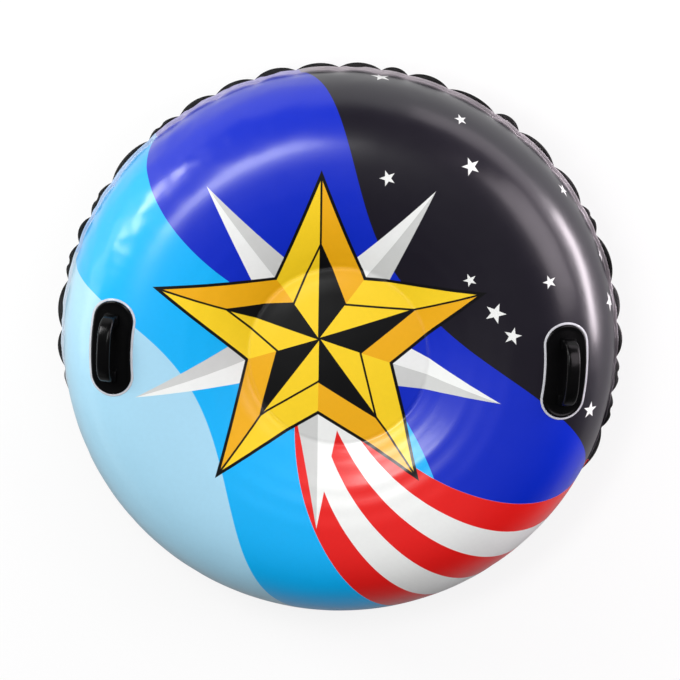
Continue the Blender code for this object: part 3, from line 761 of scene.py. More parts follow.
# Plain finishes: the skin and its four values, the dark and the pale tone, and what else differs
INNER_FILM = (blown_film, (0.00003, 0.0002, 0.4, 0.15))
FINISHES = {
    "baffle_film_look": (*INNER_FILM, (0.84, 0.84, 0.82), (0.90, 0.90, 0.88), {}),
    "doubler_film_look": (*INNER_FILM, (0.80, 0.80, 0.78), (0.86, 0.86, 0.84), {}),
    "black_moulding_look": (
        moulded_skin, (0.00003, 900.0, 0.20, 0.10),
        (0.022, 0.022, 0.024), (0.038, 0.038, 0.041), {"Specular_IOR_Level": 0.18},
    ),
    "clear_edge_look": (
        moulded_skin, (0.00004, 500.0, 0.14, 0.1),
        (0.80, 0.81, 0.83), (0.95, 0.95, 0.97), {"Alpha": 0.62},
    ),
    "valve_plastic_look": (
        moulded_skin, (0.00003, 1400.0, 0.34, 0.16),
        (0.15, 0.15, 0.155), (0.19, 0.19, 0.195), {},
    ),
    "seal_rubber_look": (
        moulded_skin, (0.00004, 1600.0, 0.62, 0.16),
        (0.11, 0.11, 0.11), (0.15, 0.15, 0.15), {},
    ),
    "silicone_look": (
        moulded_skin, (0.00002, 1200.0, 0.42, 0.12),
        (0.82, 0.83, 0.83), (0.88, 0.89, 0.89), {},
    ),
}


def finish_of(name):
    """A plain finish, made the first time that it is asked for."""
    if name in bpy.data.materials:
        return bpy.data.materials[name]
    made, tree, shader = new_material(name)
    maker, values, dark, pale, plain = FINISHES[name]
    skin = effect(tree, maker, object_place(tree), *values)
    tone = blend_colour(tree, skin["Mottle"], linear(dark), linear(pale))
    dress_shader(tree, shader, skin, tone, skin["Height"], **plain)
    return made


def shown_piece(name, work, material, body, slot, *nodes):
    """A finished mesh as a piece that rides on a body and stands for its nodes."""
    mesh = bpy.data.meshes.new(name)
    work.to_mesh(mesh)
    work.free()
    mesh.shade_smooth()
    mesh.materials.append(material)
    piece = bpy.data.objects.new(name, mesh)
    bpy.context.scene.collection.objects.link(piece)
    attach(piece, body)
    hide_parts(*nodes)
    return piece


def graded(low, high, step):
    """Evenly spaced values from low to just before high, about a step apart."""
    count = max(round((high - low) / step), 1)
    return [low + (high - low) * index / count for index in range(count)]


def quarter(share, half_width, height, curve):
    """A point on a quarter superellipse: share 0 is its foot and 1 its top."""
    angle = share * math.pi / 2
    return half_width * max(math.cos(angle), 0.0) ** curve, height * math.sin(angle) ** curve


def top_height(radius):
    """The air side of the top film at a radius, without its unevenness."""
    crest_z = CREST_Z - SHEET
    if radius > CREST_RADIUS:
        share = min((radius - CREST_RADIUS) / CREST_INSET, 1.0)
        angle = math.acos(share ** (1 / TOP_CURVE))
        foot_z = SEAM_Z + GAP / 2
        return foot_z + (crest_z - foot_z) * math.sin(angle) ** TOP_CURVE
    seat = crest_z - SEAT_CREASE_DEPTH + SEAT_CROWN * (1 - (radius / SEAT_RADIUS) ** 2)
    slope = crest_z - SEAT_CREASE_DEPTH * ((CREST_RADIUS - radius) / (CREST_RADIUS - SEAT_RADIUS)) ** 2
    higher = (seat + slope + math.sqrt((seat - slope) ** 2 + CREASE_ROUNDING**2)) / 2
    return higher - CREASE_GROOVE * math.exp(-(((radius - SEAT_RADIUS) / CREASE_GROOVE_WIDTH) ** 2))


def under_height(radius):
    """The air side of the bottom film inside its ground ring, at a radius."""
    land_z = VALVE_LAND_Z + SHEET
    crease_z = UNDER_CREASE_Z + SHEET
    if radius >= SEAT_RADIUS:
        share = max(GROUND_INNER_RADIUS - radius, 0.0) / (GROUND_INNER_RADIUS - SEAT_RADIUS)
        return SHEET + (crease_z - SHEET) * share**2
    share = max(radius - VALVE_LAND_RADIUS, 0.0) / (SEAT_RADIUS - VALVE_LAND_RADIUS)
    return land_z + (crease_z - land_z) * share


def top_line():
    """The top film's line of (radius, height) points from its centre to the seam."""
    radii = graded(0.0, SEAT_RADIUS - CREASE_REACH, SEAT_STEP)
    radii += graded(SEAT_RADIUS - CREASE_REACH, SEAT_RADIUS + CREASE_REACH, CREASE_STEP)
    radii += graded(SEAT_RADIUS + CREASE_REACH, CREST_RADIUS, SLOPE_STEP)
    points = [(radius, top_height(radius)) for radius in radii]
    foot_z = SEAM_Z + GAP / 2
    for row in range(WALL_ROWS + 1):
        across, up = quarter(1 - row / WALL_ROWS, CREST_INSET, CREST_Z - SHEET - foot_z, TOP_CURVE)
        points.append((CREST_RADIUS + across, foot_z + up))
    return points


def under_line():
    """The bottom film's line of (radius, height) points from the valve hole to the seam."""
    radii = [VALVE_HOLE_RADIUS] + graded(VALVE_HOLE_RADIUS + LAND_STEP, VALVE_LAND_RADIUS, LAND_STEP)
    radii += graded(VALVE_LAND_RADIUS, SEAT_RADIUS - CREASE_REACH, SEAT_STEP)
    radii += graded(SEAT_RADIUS - CREASE_REACH, SEAT_RADIUS + CREASE_REACH, UNDER_CREASE_STEP)
    radii += graded(SEAT_RADIUS + CREASE_REACH, GROUND_INNER_RADIUS, UNDER_SLOPE_STEP)
    radii += graded(GROUND_INNER_RADIUS, GROUND_OUTER_RADIUS, SEAT_STEP)
    points = [(radius, under_height(radius)) for radius in radii]
    rim_z = SEAM_Z - GAP / 2
    half_width = SEAM_RADIUS - GROUND_OUTER_RADIUS
    for row in range(UNDER_WALL_ROWS + 1):
        across, down = quarter(1 - row / UNDER_WALL_ROWS, half_width, rim_z - SHEET, UNDER_CURVE)
        points.append((GROUND_OUTER_RADIUS + across, rim_z - down))
    return points


def seam_columns(settings):
    """What the seam does at each column of the films: its angle, its lobe and its pucker."""
    chance = random.Random(LOBE_SEED)
    notches = []
    for index in range(LOBES):
        notches.append(
            {
                "angle": math.tau * (index + chance.uniform(-LOBE_SHIFT, LOBE_SHIFT)) / LOBES,
                "height": chance.uniform(*LOBE_HEIGHTS),
                "depth": chance.uniform(settings.pucker_least, settings.pucker_most),
                "reach": chance.uniform(settings.reach_least, settings.reach_most),
                "lift": chance.uniform(-1.0, 1.0),
                "double": chance.random() < DOUBLE_SHARE,
            }
        )
    dip, dip_place, dip_width = DOUBLE_DIP
    blended = ("angle", "depth", "reach")
    columns = []
    for index, here in enumerate(notches):
        after = dict(notches[(index + 1) % LOBES])
        after["angle"] += math.tau if index + 1 == LOBES else 0.0
        for step in range(LOBE_COLUMNS):
            share = step / LOBE_COLUMNS
            along = min(max((share - LOBE_REST) / (1 - 2 * LOBE_REST), 0.0), 1.0)
            swell = max(math.sin(math.pi * along), 0.0) ** LOBE_CURVE
            if here["double"]:
                swell *= 1 - dip * math.exp(-(((share - dip_place) / dip_width) ** 2))
            column = {key: here[key] + (after[key] - here[key]) * share for key in blended}
            lift = here["lift"] * math.sin(math.pi * share) + LOBE_SKEW * math.sin(math.tau * share)
            columns.append({**column, "swell": swell, "height": here["height"], "lift": lift})
    return columns


def ease(value, low, high):
    """0 below low, 1 above high, and a smooth step between."""
    share = min(max((value - low) / (high - low), 0.0), 1.0)
    return share * share * (3 - 2 * share)


def turn_from(angle, middle):
    """The angle as a turn from a middle, within half a circle either way."""
    return (angle - middle + math.pi) % math.tau - math.pi


def layered_noise(layers, angle, run):
    """Unevenness in layers of noise over the film."""
    height = 0.0
    for turns, length, place, share in layers:
        height += share * noise.noise(Vector((angle * turns, run * length, place)))
    return height


def slackness(angle):
    """How slack the wall's film is at an angle: most at the upper left."""
    return CRUMPLE_ELSEWHERE + math.exp(-((turn_from(angle, CRUMPLE_MIDDLE) / CRUMPLE_WIDTH) ** 2))


def top_lift(radius, angle):
    """How far the top film lies above its plain line: settled rings and slow swells."""
    even, leaning, rippled = RING_SHARES
    lift = 0.0
    for ring, height, width, first in SLOPE_RINGS:
        if abs(radius - ring) < width * 3:
            around = even + leaning * math.cos(angle - first) + rippled * math.sin(3 * angle + first * 7)
            lift += height * max(around, 0.0) * math.exp(-(((radius - ring) / width) ** 2))
    spot = Vector((radius * math.cos(angle), radius * math.sin(angle), 0.0)) / SWELL_LENGTH
    return lift + SWELL * noise.noise(spot)


def run_lengths(line):
    """How far each point of a line lies along the film from its centre."""
    runs = [line[0][0]]
    for pair in zip(line, line[1:]):
        runs.append(runs[-1] + math.dist(*pair))
    return runs


def turn_about_z(work, geometry, columns):
    """Spins a line once round Z."""
    bmesh.ops.spin(
        work, geom=geometry, cent=(0, 0, 0), axis=(0, 0, 1), angle=math.tau, steps=columns, use_merge=True
    )


def spun_film(line, runs, flange_width):
    """A line spun into a film, with each point's run and its share of the flange stored on it."""
    work = bmesh.new()
    arc = work.verts.layers.float.new("arc")
    flange = work.verts.layers.float.new("flange")
    points = [(radius, height, run, 0.0) for (radius, height), run in zip(line, runs)]
    radius, height, run, _ = points[-1]
    for row in range(FLANGE_ROWS):
        share = (row + 1) / FLANGE_ROWS
        points.append((radius + SEAM_WIDTH * share, height, run + flange_width * share, share))
    verts = []
    for radius, height, run, share in points:
        vert = work.verts.new((radius, 0.0, height))
        vert[arc] = run
        vert[flange] = share
        verts.append(vert)
    edges = [work.edges.new(pair) for pair in zip(verts, verts[1:])]
    turn_about_z(work, verts + edges, COLUMNS)
    bmesh.ops.remove_doubles(work, verts=work.verts, dist=MERGE)
    return work, arc, flange


def shape_film(work, settings, flange, edge_of):
    """Draws a spun film's columns to the seam's notches, puckers and creases it and shapes its flange."""
    columns = seam_columns(settings)
    for vert in work.verts:
        radius = vert.co.xy.length
        if radius < MERGE:
            continue
        column = columns[round(math.atan2(vert.co.y, vert.co.x) / math.tau * COLUMNS) % COLUMNS]
        angle, swell = column["angle"], column["swell"]
        share = vert[flange]
        height = vert.co.z
        # The flange is drawn in as far as its seam is
        rise = abs(height - SEAM_Z) if share == 0 else 0.0
        if radius > GROUND_OUTER_RADIUS and rise < column["reach"]:
            crease = settings.crinkle * (CRINKLE_EVERYWHERE + slackness(angle))
            crease *= layered_noise(CRINKLE_LAYERS, angle, rise)
            pull = column["depth"] * (1 - swell) - LOBE_BULGE * swell
            radius = min(radius, SEAM_RADIUS) - (1 - rise / column["reach"]) ** 2 * (pull - crease)
        if share > 0:
            fold = FOLD * (1 - ease(abs(turn_from(angle, FOLD_MIDDLE)), *FOLD_ENDS))
            run = (edge_of(column) - radius) * share
            off = height - SEAM_Z
            radius += run * math.cos(fold) + off * math.sin(fold)
            twist = LOBE_TWIST * column["lift"] * share**TWIST_CURVE * (1 - fold / FOLD)
            height = SEAM_Z - run * math.sin(fold) + off * math.cos(fold) + twist
        vert.co = (radius * math.cos(angle), radius * math.sin(angle), height)


def settle_top(work, settings, arc, flange):
    """Lets the top film's slope and seat settle unevenly and dents its wall where it is slack."""
    work.normal_update()
    moves = []
    for vert in work.verts:
        radius = vert.co.xy.length
        angle = math.atan2(vert.co.y, vert.co.x)
        rise = abs(vert.co.z - SEAM_Z)
        move = Vector((0.0, 0.0, top_lift(radius, angle) * ease(rise, *SETTLE_RISE)))
        if vert[flange] == 0:
            mask = slackness(angle) * ease(radius, *CRUMPLE_RADII) * ease(rise, *DENT_RISE)
            move += vert.normal * (settings.dents * mask * layered_noise(DENT_LAYERS, angle, vert[arc]))
        moves.append(move)
    for vert, move in zip(work.verts, moves):
        vert.co += move


def finish_film(work, arc, reach, upwards):
    """Lays the print's flat map on a film and closes it into triangles that face its outside."""
    chart = work.loops.layers.uv.new(UV_NAME)
    for face in work.faces:
        for loop in face.loops:
            out = loop.vert.co.xy.normalized() * (loop.vert[arc] / (2 * reach))
            loop[chart].uv = Vector((0.5, 0.5)) + out
    bmesh.ops.triangulate(work, faces=work.faces)
    bmesh.ops.recalc_face_normals(work, faces=work.faces)
    nearest = min(work.faces, key=lambda face: face.calc_center_median().xy.length)
    if (nearest.normal.z > 0) != upwards:
        bmesh.ops.reverse_faces(work, faces=work.faces)


def film_piece(name, work, look, slot, node):
    """A film's mesh as a piece with the film's thickness."""
    wall = shown_piece(name, work, look, "tube", slot, node).modifiers.new("film", "SOLIDIFY")
    wall.thickness = SHEET
    wall.offset = 1.0


class SNOWTUBE_OT_top_film(bpy.types.Operator):
    """Build the printed top film"""

    bl_idname = "snow_tube.top_film"
    bl_label = "Top film"
    bl_options = {"REGISTER", "UNDO"}

    def execute(self, context):
        settings = context.scene.snow_tube_film
        line = top_line()
        runs = run_lengths(line)
        flange_width = SEAM_WIDTH - TOP_PLY_TRIM
        reach = runs[-1] + flange_width
        crease_reach = next(run for point, run in zip(line, runs) if point[0] > SEAT_RADIUS - CREASE_STEP)
        work, arc, flange = spun_film(line, runs, flange_width)
        edge = TUBE_RADIUS - TOP_PLY_TRIM
        shape_film(work, settings, flange, lambda column: edge - TOP_PLY_WAVE * (1 - column["swell"]))
        settle_top(work, settings, arc, flange)
        finish_film(work, arc, reach, True)
        look = printed_film(settings, context.scene.snow_tube_print, reach, runs[-1], crease_reach)
        film_piece("printed_top_film", work, look, "printed_film", "top_sheet")
        return {"FINISHED"}


class SNOWTUBE_OT_bottom_film(bpy.types.Operator):
    """Build the black bottom film"""

    bl_idname = "snow_tube.bottom_film"
    bl_label = "Bottom film"
    bl_options = {"REGISTER", "UNDO"}

    def execute(self, context):
        line = under_line()
        runs = run_lengths(line)
        reach = runs[-1] + SEAM_WIDTH
        crease_reach = next(run for point, run in zip(line, runs) if point[0] > SEAT_RADIUS)
        work, arc, flange = spun_film(line, runs, SEAM_WIDTH)

        def edge_of(column):
            return TUBE_RADIUS - LOBE_DEPTH * (1 - column["swell"] * column["height"])

        shape_film(work, context.scene.snow_tube_film, flange, edge_of)
        finish_film(work, arc, reach, False)
        look = under_film(reach, runs[-1], crease_reach)
        film_piece("black_bottom_film", work, look, "under_film", "bottom_sheet")
        return {"FINISHED"}


class SNOWTUBE_OT_baffle(bpy.types.Operator):
    """Dress the band that ties the two films together round the seat"""

    bl_idname = "snow_tube.baffle"
    bl_label = "Baffle band"
    bl_options = {"REGISTER", "UNDO"}

    def execute(self, context):
        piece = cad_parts["seat_baffle"]
        piece.data.materials.clear()
        piece.data.materials.append(finish_of("baffle_film_look"))
        return {"FINISHED"}


def bean_outline(margin):
    """The handle's outline in plan at the +X side, bent round the tube and grown by a margin."""
    half_width = max(HANDLE_WIDTH / 2 + margin, 0.0)
    bend = (HANDLE_LENGTH - HANDLE_WIDTH) / 2 / HANDLE_RADIUS
    points = []
    for side in (1, -1):
        end = Vector((math.cos(side * bend), math.sin(side * bend))) * HANDLE_RADIUS
        for step in range(BEAN_SIDE_STEPS):
            angle = -side * bend + side * 2 * bend * step / BEAN_SIDE_STEPS
            reach = HANDLE_RADIUS + side * half_width
            points.append((reach * math.cos(angle), reach * math.sin(angle)))
        for step in range(BEAN_END_STEPS):
            turned = math.pi * step / BEAN_END_STEPS
            angle = side * bend + turned if side > 0 else math.pi - bend + turned
            points.append((end.x + half_width * math.cos(angle), end.y + half_width * math.sin(angle)))
    return points


def grown_ring(work, verts, places):
    """A closed ring of vertices extruded to new places."""
    edges = [work.edges.get(pair) for pair in zip(verts, verts[1:] + verts[:1])]
    grown = bmesh.ops.extrude_edge_only(work, edges=edges)["geom"]
    fresh = {item for item in grown if isinstance(item, bmesh.types.BMVert)}
    ring = []
    for vert, place in zip(verts, places):
        ends = [edge.other_vert(vert) for edge in vert.link_edges]
        ring.append(next(end for end in ends if end in fresh))
        ring[-1].co = place
    return ring


def lofted(rings):
    """Closed rings of points, each extruded from the one before, with doubles merged."""
    work = bmesh.new()
    verts = [work.verts.new(place) for place in rings[0]]
    for pair in zip(verts, verts[1:] + verts[:1]):
        work.edges.new(pair)
    for places in rings[1:]:
        verts = grown_ring(work, verts, places)
    bmesh.ops.remove_doubles(work, verts=work.verts, dist=MERGE)
    return work


def lay_on_film(work, turn):
    """Turns a flat piece about Z and lays it on the top film. Its own heights stand square to the film."""
    step = FILM_PROBE
    for vert in work.verts:
        lift = vert.co.z
        place = Matrix.Rotation(turn, 3, "Z") @ Vector((vert.co.x, vert.co.y, 0.0))
        radius = place.xy.length
        angle = math.atan2(place.y, place.x)
        outward = Vector((math.cos(angle), math.sin(angle), 0.0))
        rise = (top_height(radius + step) - top_height(radius - step)) / (2 * step)
        normal = (Vector((0.0, 0.0, 1.0)) - outward * rise).normalized()
        height = top_height(radius) + top_lift(radius, angle)
        vert.co = outward * radius + Vector((0.0, 0.0, height)) + normal * lift


def straight_run(start, end, steps):
    """Section points on a straight run, without the first."""
    shares = [(index + 1) / steps for index in range(steps)]
    return [tuple(first + (last - first) * share for first, last in zip(start, end)) for share in shares]


def filled_section(edge, steps):
    """A section that runs in from both ends of its edge to the handle's centre line."""
    foot, top = (CENTRE_LINE, edge[0][1]), (CENTRE_LINE, edge[-1][1])
    return [foot, *straight_run(foot, edge[0], steps[0]), *edge[1:], *straight_run(edge[-1], top, steps[1])]


def bean_pieces(section, finish, slot, piece, node):
    """A bean-shaped piece on each side, from its section."""
    for side, turn in HANDLE_SIDES:
        work = lofted([[(x, y, height) for x, y in bean_outline(margin)] for margin, height in section])
        lay_on_film(work, turn)
        bmesh.ops.recalc_face_normals(work, faces=work.faces)
        shown_piece(side + piece, work, finish_of(finish), "tube", slot, side + node)


class SNOWTUBE_OT_handle_bases(bpy.types.Operator):
    """Build the glossy bean-shaped bases of both handles"""

    bl_idname = "snow_tube.handle_bases"
    bl_label = "Handle bases"
    bl_options = {"REGISTER", "UNDO"}

    def execute(self, context):
        section = filled_section(BASE_LIP, (7, 8))
        bean_pieces(section, "black_moulding_look", "black_moulding", "_base_moulding", "_handle_base")
        return {"FINISHED"}


class SNOWTUBE_OT_weld_edges(bpy.types.Operator):
    """Build the clear welded edges round both handle bases"""

    bl_idname = "snow_tube.weld_edges"
    bl_label = "Clear weld edges"
    bl_options = {"REGISTER", "UNDO"}

    def execute(self, context):
        bean_pieces(WELD_EDGE, "clear_edge_look", "clear_film", "_clear_edge", "_handle_weld_edge")
        return {"FINISHED"}


class SNOWTUBE_OT_doublers(bpy.types.Operator):
    """Build the patches welded inside the top film behind the handles"""

    bl_idname = "snow_tube.doublers"
    bl_label = "Doublers"
    bl_options = {"REGISTER", "UNDO"}

    def execute(self, context):
        section = filled_section(DOUBLER_EDGE, (9, 9))
        bean_pieces(section, "doubler_film_look", "doubler_film", "_backing_patch", "_handle_doubler")
        return {"FINISHED"}


def rounded_section(width, thickness, edge, steps):
    """A rounded rectangle's outline as (across, out) points."""
    outline = []
    corners = ((1, 1), (-1, 1), (-1, -1), (1, -1))
    for index, (across, out) in enumerate(corners):
        centre = Vector((across * (width / 2 - edge), out * (thickness / 2 - edge)))
        for step in range(steps + 1):
            angle = math.pi / 2 * (index + step / steps)
            outline.append(tuple(centre + Vector((math.cos(angle), math.sin(angle))) * edge))
    return outline


def grip_rings():
    """The rings of an arched grip in its own frame: along, up from the base, across."""
    half_length = GRIP_LENGTH / 2
    rings = []
    for row in range(-GRIP_ROWS, GRIP_ROWS + 1):
        share = 1 - abs(row) / GRIP_ROWS
        side = -1 if row < 0 else 1
        outer = Vector(quarter(share, half_length, GRIP_HEIGHT, GRIP_CURVE))
        inner = Vector(quarter(share, half_length - GRIP_FOOT, GRIP_HEIGHT - GRIP_THICKNESS, GRIP_CURVE))
        middle = (outer + inner) / 2
        out = (outer - inner).normalized()
        flare = max(1 - middle.y / FLARE_HEIGHT, 0.0) ** 2
        width = GRIP_WIDTH + FLARE_WIDTH * flare
        thickness = (outer - inner).length + FLARE_THICKNESS * flare
        ring = []
        edge = min(GRIP_EDGE, thickness * GRIP_EDGE_SHARE)
        for across, away in rounded_section(width, thickness, edge, 4):
            spot = middle + out * away
            ring.append(Vector((side * spot.x, spot.y, across)))
        rings.append(ring)
    return rings


class SNOWTUBE_OT_grips(bpy.types.Operator):
    """Build the arched grips of both handles"""

    bl_idname = "snow_tube.grips"
    bl_label = "Grips"
    bl_options = {"REGISTER", "UNDO"}

    def execute(self, context):
        drop = top_height(HANDLE_RADIUS - GRIP_PROBE) - top_height(HANDLE_RADIUS + GRIP_PROBE)
        fall = math.atan2(drop, 2 * GRIP_PROBE)
        upright = Vector((math.sin(fall), 0.0, math.cos(fall)))
        along = Vector((0.0, 1.0, 0.0))
        stand = Matrix((along, upright, along.cross(upright))).transposed().to_4x4()
        stand.translation = Vector((HANDLE_RADIUS, 0.0, top_height(HANDLE_RADIUS))) + upright * BASE_FACE
        for side, turn in HANDLE_SIDES:
            work = lofted(grip_rings())
            bmesh.ops.transform(work, matrix=stand, verts=work.verts)
            open_edges = [edge for edge in work.edges if edge.is_boundary]
            for vert in {vert for edge in open_edges for vert in edge.verts}:
                vert.co.z = top_height(vert.co.xy.length) + BASE_FACE / math.cos(fall)
            bmesh.ops.holes_fill(work, edges=open_edges)
            bmesh.ops.rotate(work, cent=(0, 0, 0), matrix=Matrix.Rotation(turn, 3, "Z"), verts=work.verts)
            bmesh.ops.recalc_face_normals(work, faces=work.faces)
            look = finish_of("black_moulding_look")
            piece = shown_piece(side + "_grip_strap", work, look, "tube", "black_moulding", side + "_grip")
            smooth = piece.modifiers.new("smooth", "SUBSURF")
            smooth.levels = 1
            smooth.render_levels = 1
        return {"FINISHED"}


def softened(section, edge, closed=True):
    """A section whose corners are rounded. The ends of an open section stay as they are."""
    points = []
    for index, here in enumerate(section):
        if not closed and index in (0, len(section) - 1):
            points.append(here)
            continue
        corner = Vector(here)
        runs = [Vector(section[other % len(section)]) - corner for other in (index - 1, index + 1)]
        first, last = (corner + run.normalized() * min(edge, run.length * ROUNDING_MOST) for run in runs)
        flat = [corner + run.normalized() * edge * FLAT_FROM for run in runs]
        long = [run.length > edge * LONG_SIDE for run in runs]
        rounding = []
        for share in (0.0, 1 / 3, 2 / 3, 1.0):
            rounding.append(first * (1 - share) ** 2 + corner * 2 * share * (1 - share) + last * share**2)
        rounding = flat[:1] * long[0] + rounding + flat[1:] * long[1]
        points += [tuple(point) for point in rounding]
    return points


def add_turned(work, section, columns, closed=True, matrix=None):
    """Adds a section of (radius, height) points turned about Z. Gives its vertices."""
    before = set(work.verts)
    line = [work.verts.new((radius, 0.0, height)) for radius, height in section]
    pairs = list(zip(line, line[1:]))
    if closed:
        pairs.append((line[-1], line[0]))
    edges = [work.edges.new(pair) for pair in pairs]
    turn_about_z(work, line + edges, columns)
    bmesh.ops.remove_doubles(work, verts=[vert for vert in work.verts if vert not in before], dist=MERGE)
    fresh = [vert for vert in work.verts if vert not in before]
    if matrix:
        bmesh.ops.transform(work, matrix=matrix, verts=fresh)
    return fresh


def add_slab(work, low, high, edge):
    """Adds a box between two corners with rounded edges."""
    size = Vector(high) - Vector(low)
    place = Matrix.Translation((Vector(high) + Vector(low)) / 2) @ Matrix.Diagonal((*size, 1.0))
    verts = bmesh.ops.create_cube(work, size=1.0, matrix=place)["verts"]
    edges = list({link for vert in verts for link in vert.link_edges})
    bmesh.ops.bevel(work, geom=edges, offset=edge, segments=2, profile=0.5, affect="EDGES", material=-1)


def notch_rim(verts):
    """Presses finger notches into the screw insert's rim."""
    inner = RIM_RADIUS - RIM_NOTCH_REACH
    for vert in verts:
        radius = vert.co.xy.length
        if radius > inner and vert.co.z < RIM_Z[1] + MERGE:
            turn = math.atan2(vert.co.y, vert.co.x) / math.tau * RIM_NOTCHES - 0.5
            off = abs(turn - round(turn)) * math.tau / RIM_NOTCHES / RIM_NOTCH_HALF_ANGLE
            press = RIM_NOTCH_DEPTH * math.cos(min(off, 1.0) * math.pi / 2)
            vert.co.xy *= (inner + (radius - inner) * (1 - press / RIM_NOTCH_REACH)) / radius


def cut_thread(verts):
    """Cuts a right-hand thread into the screw insert's wall, clear of its rim."""
    for vert in verts:
        radius = vert.co.xy.length
        if radius > INSERT_RADIUS - MERGE and vert.co.z > RIM_Z[1] + MERGE:
            turn = vert.co.z / THREAD_PITCH - math.atan2(vert.co.y, vert.co.x) / math.tau
            wave = ease(abs(turn % 1.0 - 0.5), *THREAD_FLANK)
            fade = ease(vert.co.z, *THREAD_START_Z) * (1 - ease(vert.co.z, *THREAD_END_Z))
            vert.co.xy *= 1 - THREAD_DEPTH * wave * fade / radius


def flute_cap(verts):
    """Presses grip flutes into the cap's side."""
    for vert in verts:
        radius = vert.co.xy.length
        if radius > CAP_RADIUS - MERGE and CAP_Z[0] + VALVE_EDGE < vert.co.z < CAP_Z[2] - VALVE_EDGE * 2:
            wave = 0.5 - 0.5 * math.cos(CAP_FLUTES * math.atan2(vert.co.y, vert.co.x))
            vert.co.xy *= 1 - CAP_FLUTE_DEPTH * wave / radius


def socket_shape(work):
    """The ring that the insert screws into, with the flange that is welded inside the film."""
    low, high = SOCKET_FLANGE_Z
    section = [
        (SOCKET_OUTER, SOCKET_TOP_Z), (SOCKET_OUTER, high), (SOCKET_FLANGE_RADIUS, high),
        (SOCKET_FLANGE_RADIUS, low), (SOCKET_OUTER, low), (SOCKET_OUTER, SOCKET_FOOT_Z),
        (SOCKET_BORE, SOCKET_FOOT_Z), (SOCKET_BORE, SOCKET_TOP_Z),
    ]
    add_turned(work, softened(section, VALVE_EDGE), VALVE_COLUMNS)


def seal_shape(work):
    """The round sealing ring."""
    middle, height = SEAL_MIDDLE
    section = []
    for step in range(BARREL_COLUMNS):
        angle = math.tau * step / BARREL_COLUMNS
        section.append((middle + SEAL_RADIUS * math.cos(angle), height + SEAL_RADIUS * math.sin(angle)))
    add_turned(work, section, VALVE_COLUMNS)


def insert_shape(work):
    """The screw insert: a cup with a notched rim, an inlet tube with a spoked hub, and a neck below."""
    section = [
        (INSERT_RADIUS, SOCKET_TOP_Z), (INSERT_RADIUS, RIM_Z[1]), (RIM_RADIUS, RIM_Z[1]),
        (RIM_RADIUS, RIM_Z[0]), (NECK_RADIUS, RIM_Z[0]), (NECK_RADIUS, NECK_FOOT_Z),
        (INLET_RADIUS, NECK_FOOT_Z), (INLET_RADIUS, INLET_TOP_Z), (NECK_RADIUS, INLET_TOP_Z),
        (NECK_RADIUS, CUP_FLOOR_Z), (CUP_RADIUS, CUP_FLOOR_Z), (CUP_RADIUS, SOCKET_TOP_Z),
    ]
    outline = softened(section, INSERT_EDGE)
    low = RIM_Z[1] + THREAD_MARGIN
    high = SOCKET_TOP_Z - THREAD_MARGIN
    start = next(index for index, place in enumerate(outline) if place[1] < high)
    wall = [(INSERT_RADIUS, height) for height in reversed(graded(low, high, (high - low) / THREAD_ROWS))]
    verts = add_turned(work, outline[:start] + wall + outline[start:], VALVE_COLUMNS)
    notch_rim(verts)
    cut_thread(verts)
    bore = STEM_RADIUS + GAP
    low, high = SPOKE_FOOT_Z, INLET_TOP_Z - GAP
    hub = [(bore, low), (bore, high), (HUB_RADIUS, high), (HUB_RADIUS, low)]
    add_turned(work, softened(hub, VALVE_EDGE / 2), BARREL_COLUMNS)
    for near, far in ((HUB_RADIUS - GAP, INLET_RADIUS + GAP), (-INLET_RADIUS - GAP, GAP - HUB_RADIUS)):
        add_slab(work, (near, -SPOKE_HALF_WIDTH, low), (far, SPOKE_HALF_WIDTH, high), VALVE_EDGE / 2)
        add_slab(work, (-SPOKE_HALF_WIDTH, near, low), (SPOKE_HALF_WIDTH, far, high), VALVE_EDGE / 2)


def disc_shape(work):
    """The soft one-way disc with its stem and bulb."""
    low, middle, high = BULB_Z
    section = [
        (0.0, DISC_Z[1]), (DISC_RADIUS, DISC_Z[1]), (DISC_RADIUS, DISC_Z[0]), (STEM_RADIUS, DISC_Z[0]),
        (STEM_RADIUS, high), (BULB_RADIUS, middle), (STEM_RADIUS, low), (0.0, low),
    ]
    add_turned(work, softened(section, VALVE_EDGE, False), VALVE_COLUMNS // 2, False)


def keeper_shape(work):
    """The ring round the neck, its strap and the barrel that the cap swings on."""
    (inner, outer), (low, high) = KEEPER_RADII, KEEPER_Z
    section = [(outer, high), (outer, low), (inner, low), (inner, high)]
    add_turned(work, softened(section, VALVE_EDGE), VALVE_COLUMNS)
    start = (inner + outer) / 2
    half = TAB_HALF_WIDTH
    add_slab(work, (start, -half, low), (HINGE_X, half, high), VALVE_EDGE)
    barrel = [(0.0, half), (HINGE_BARREL, half), (HINGE_BARREL, -half), (0.0, -half)]
    lying = Matrix.Translation((HINGE_X, 0.0, HINGE_Z)) @ Matrix.Rotation(math.pi / 2, 4, "X")
    add_turned(work, softened(barrel, VALVE_EDGE, False), BARREL_COLUMNS, False, lying)


def cap_shape(work):
    """The fluted cap over the neck, with its tab out to the hinge."""
    low, floor, high = CAP_Z
    rim, dish = CAP_DISH_SHARES
    section = [
        (0.0, floor), (CAP_BORE, floor), (CAP_BORE, high), (CAP_RADIUS, high),
        (CAP_RADIUS, low + CAP_CHAMFER), (CAP_RADIUS - CAP_CHAMFER, low), (CAP_RADIUS * rim, low),
        (CAP_RADIUS * dish, low + CAP_DISH_DEPTH), (0.0, low + CAP_DISH_DEPTH),
    ]
    flute_cap(add_turned(work, softened(section, VALVE_EDGE, False), VALVE_COLUMNS, False))
    start = (CAP_BORE + CAP_RADIUS) / 2
    end = HINGE_X - HINGE_BARREL - GAP
    half = Vector((0.0, TAB_HALF_WIDTH, TAB_HALF_HEIGHT))
    add_slab(work, Vector((start, 0.0, HINGE_Z)) - half, Vector((end, 0.0, HINGE_Z)) + half, VALVE_EDGE)


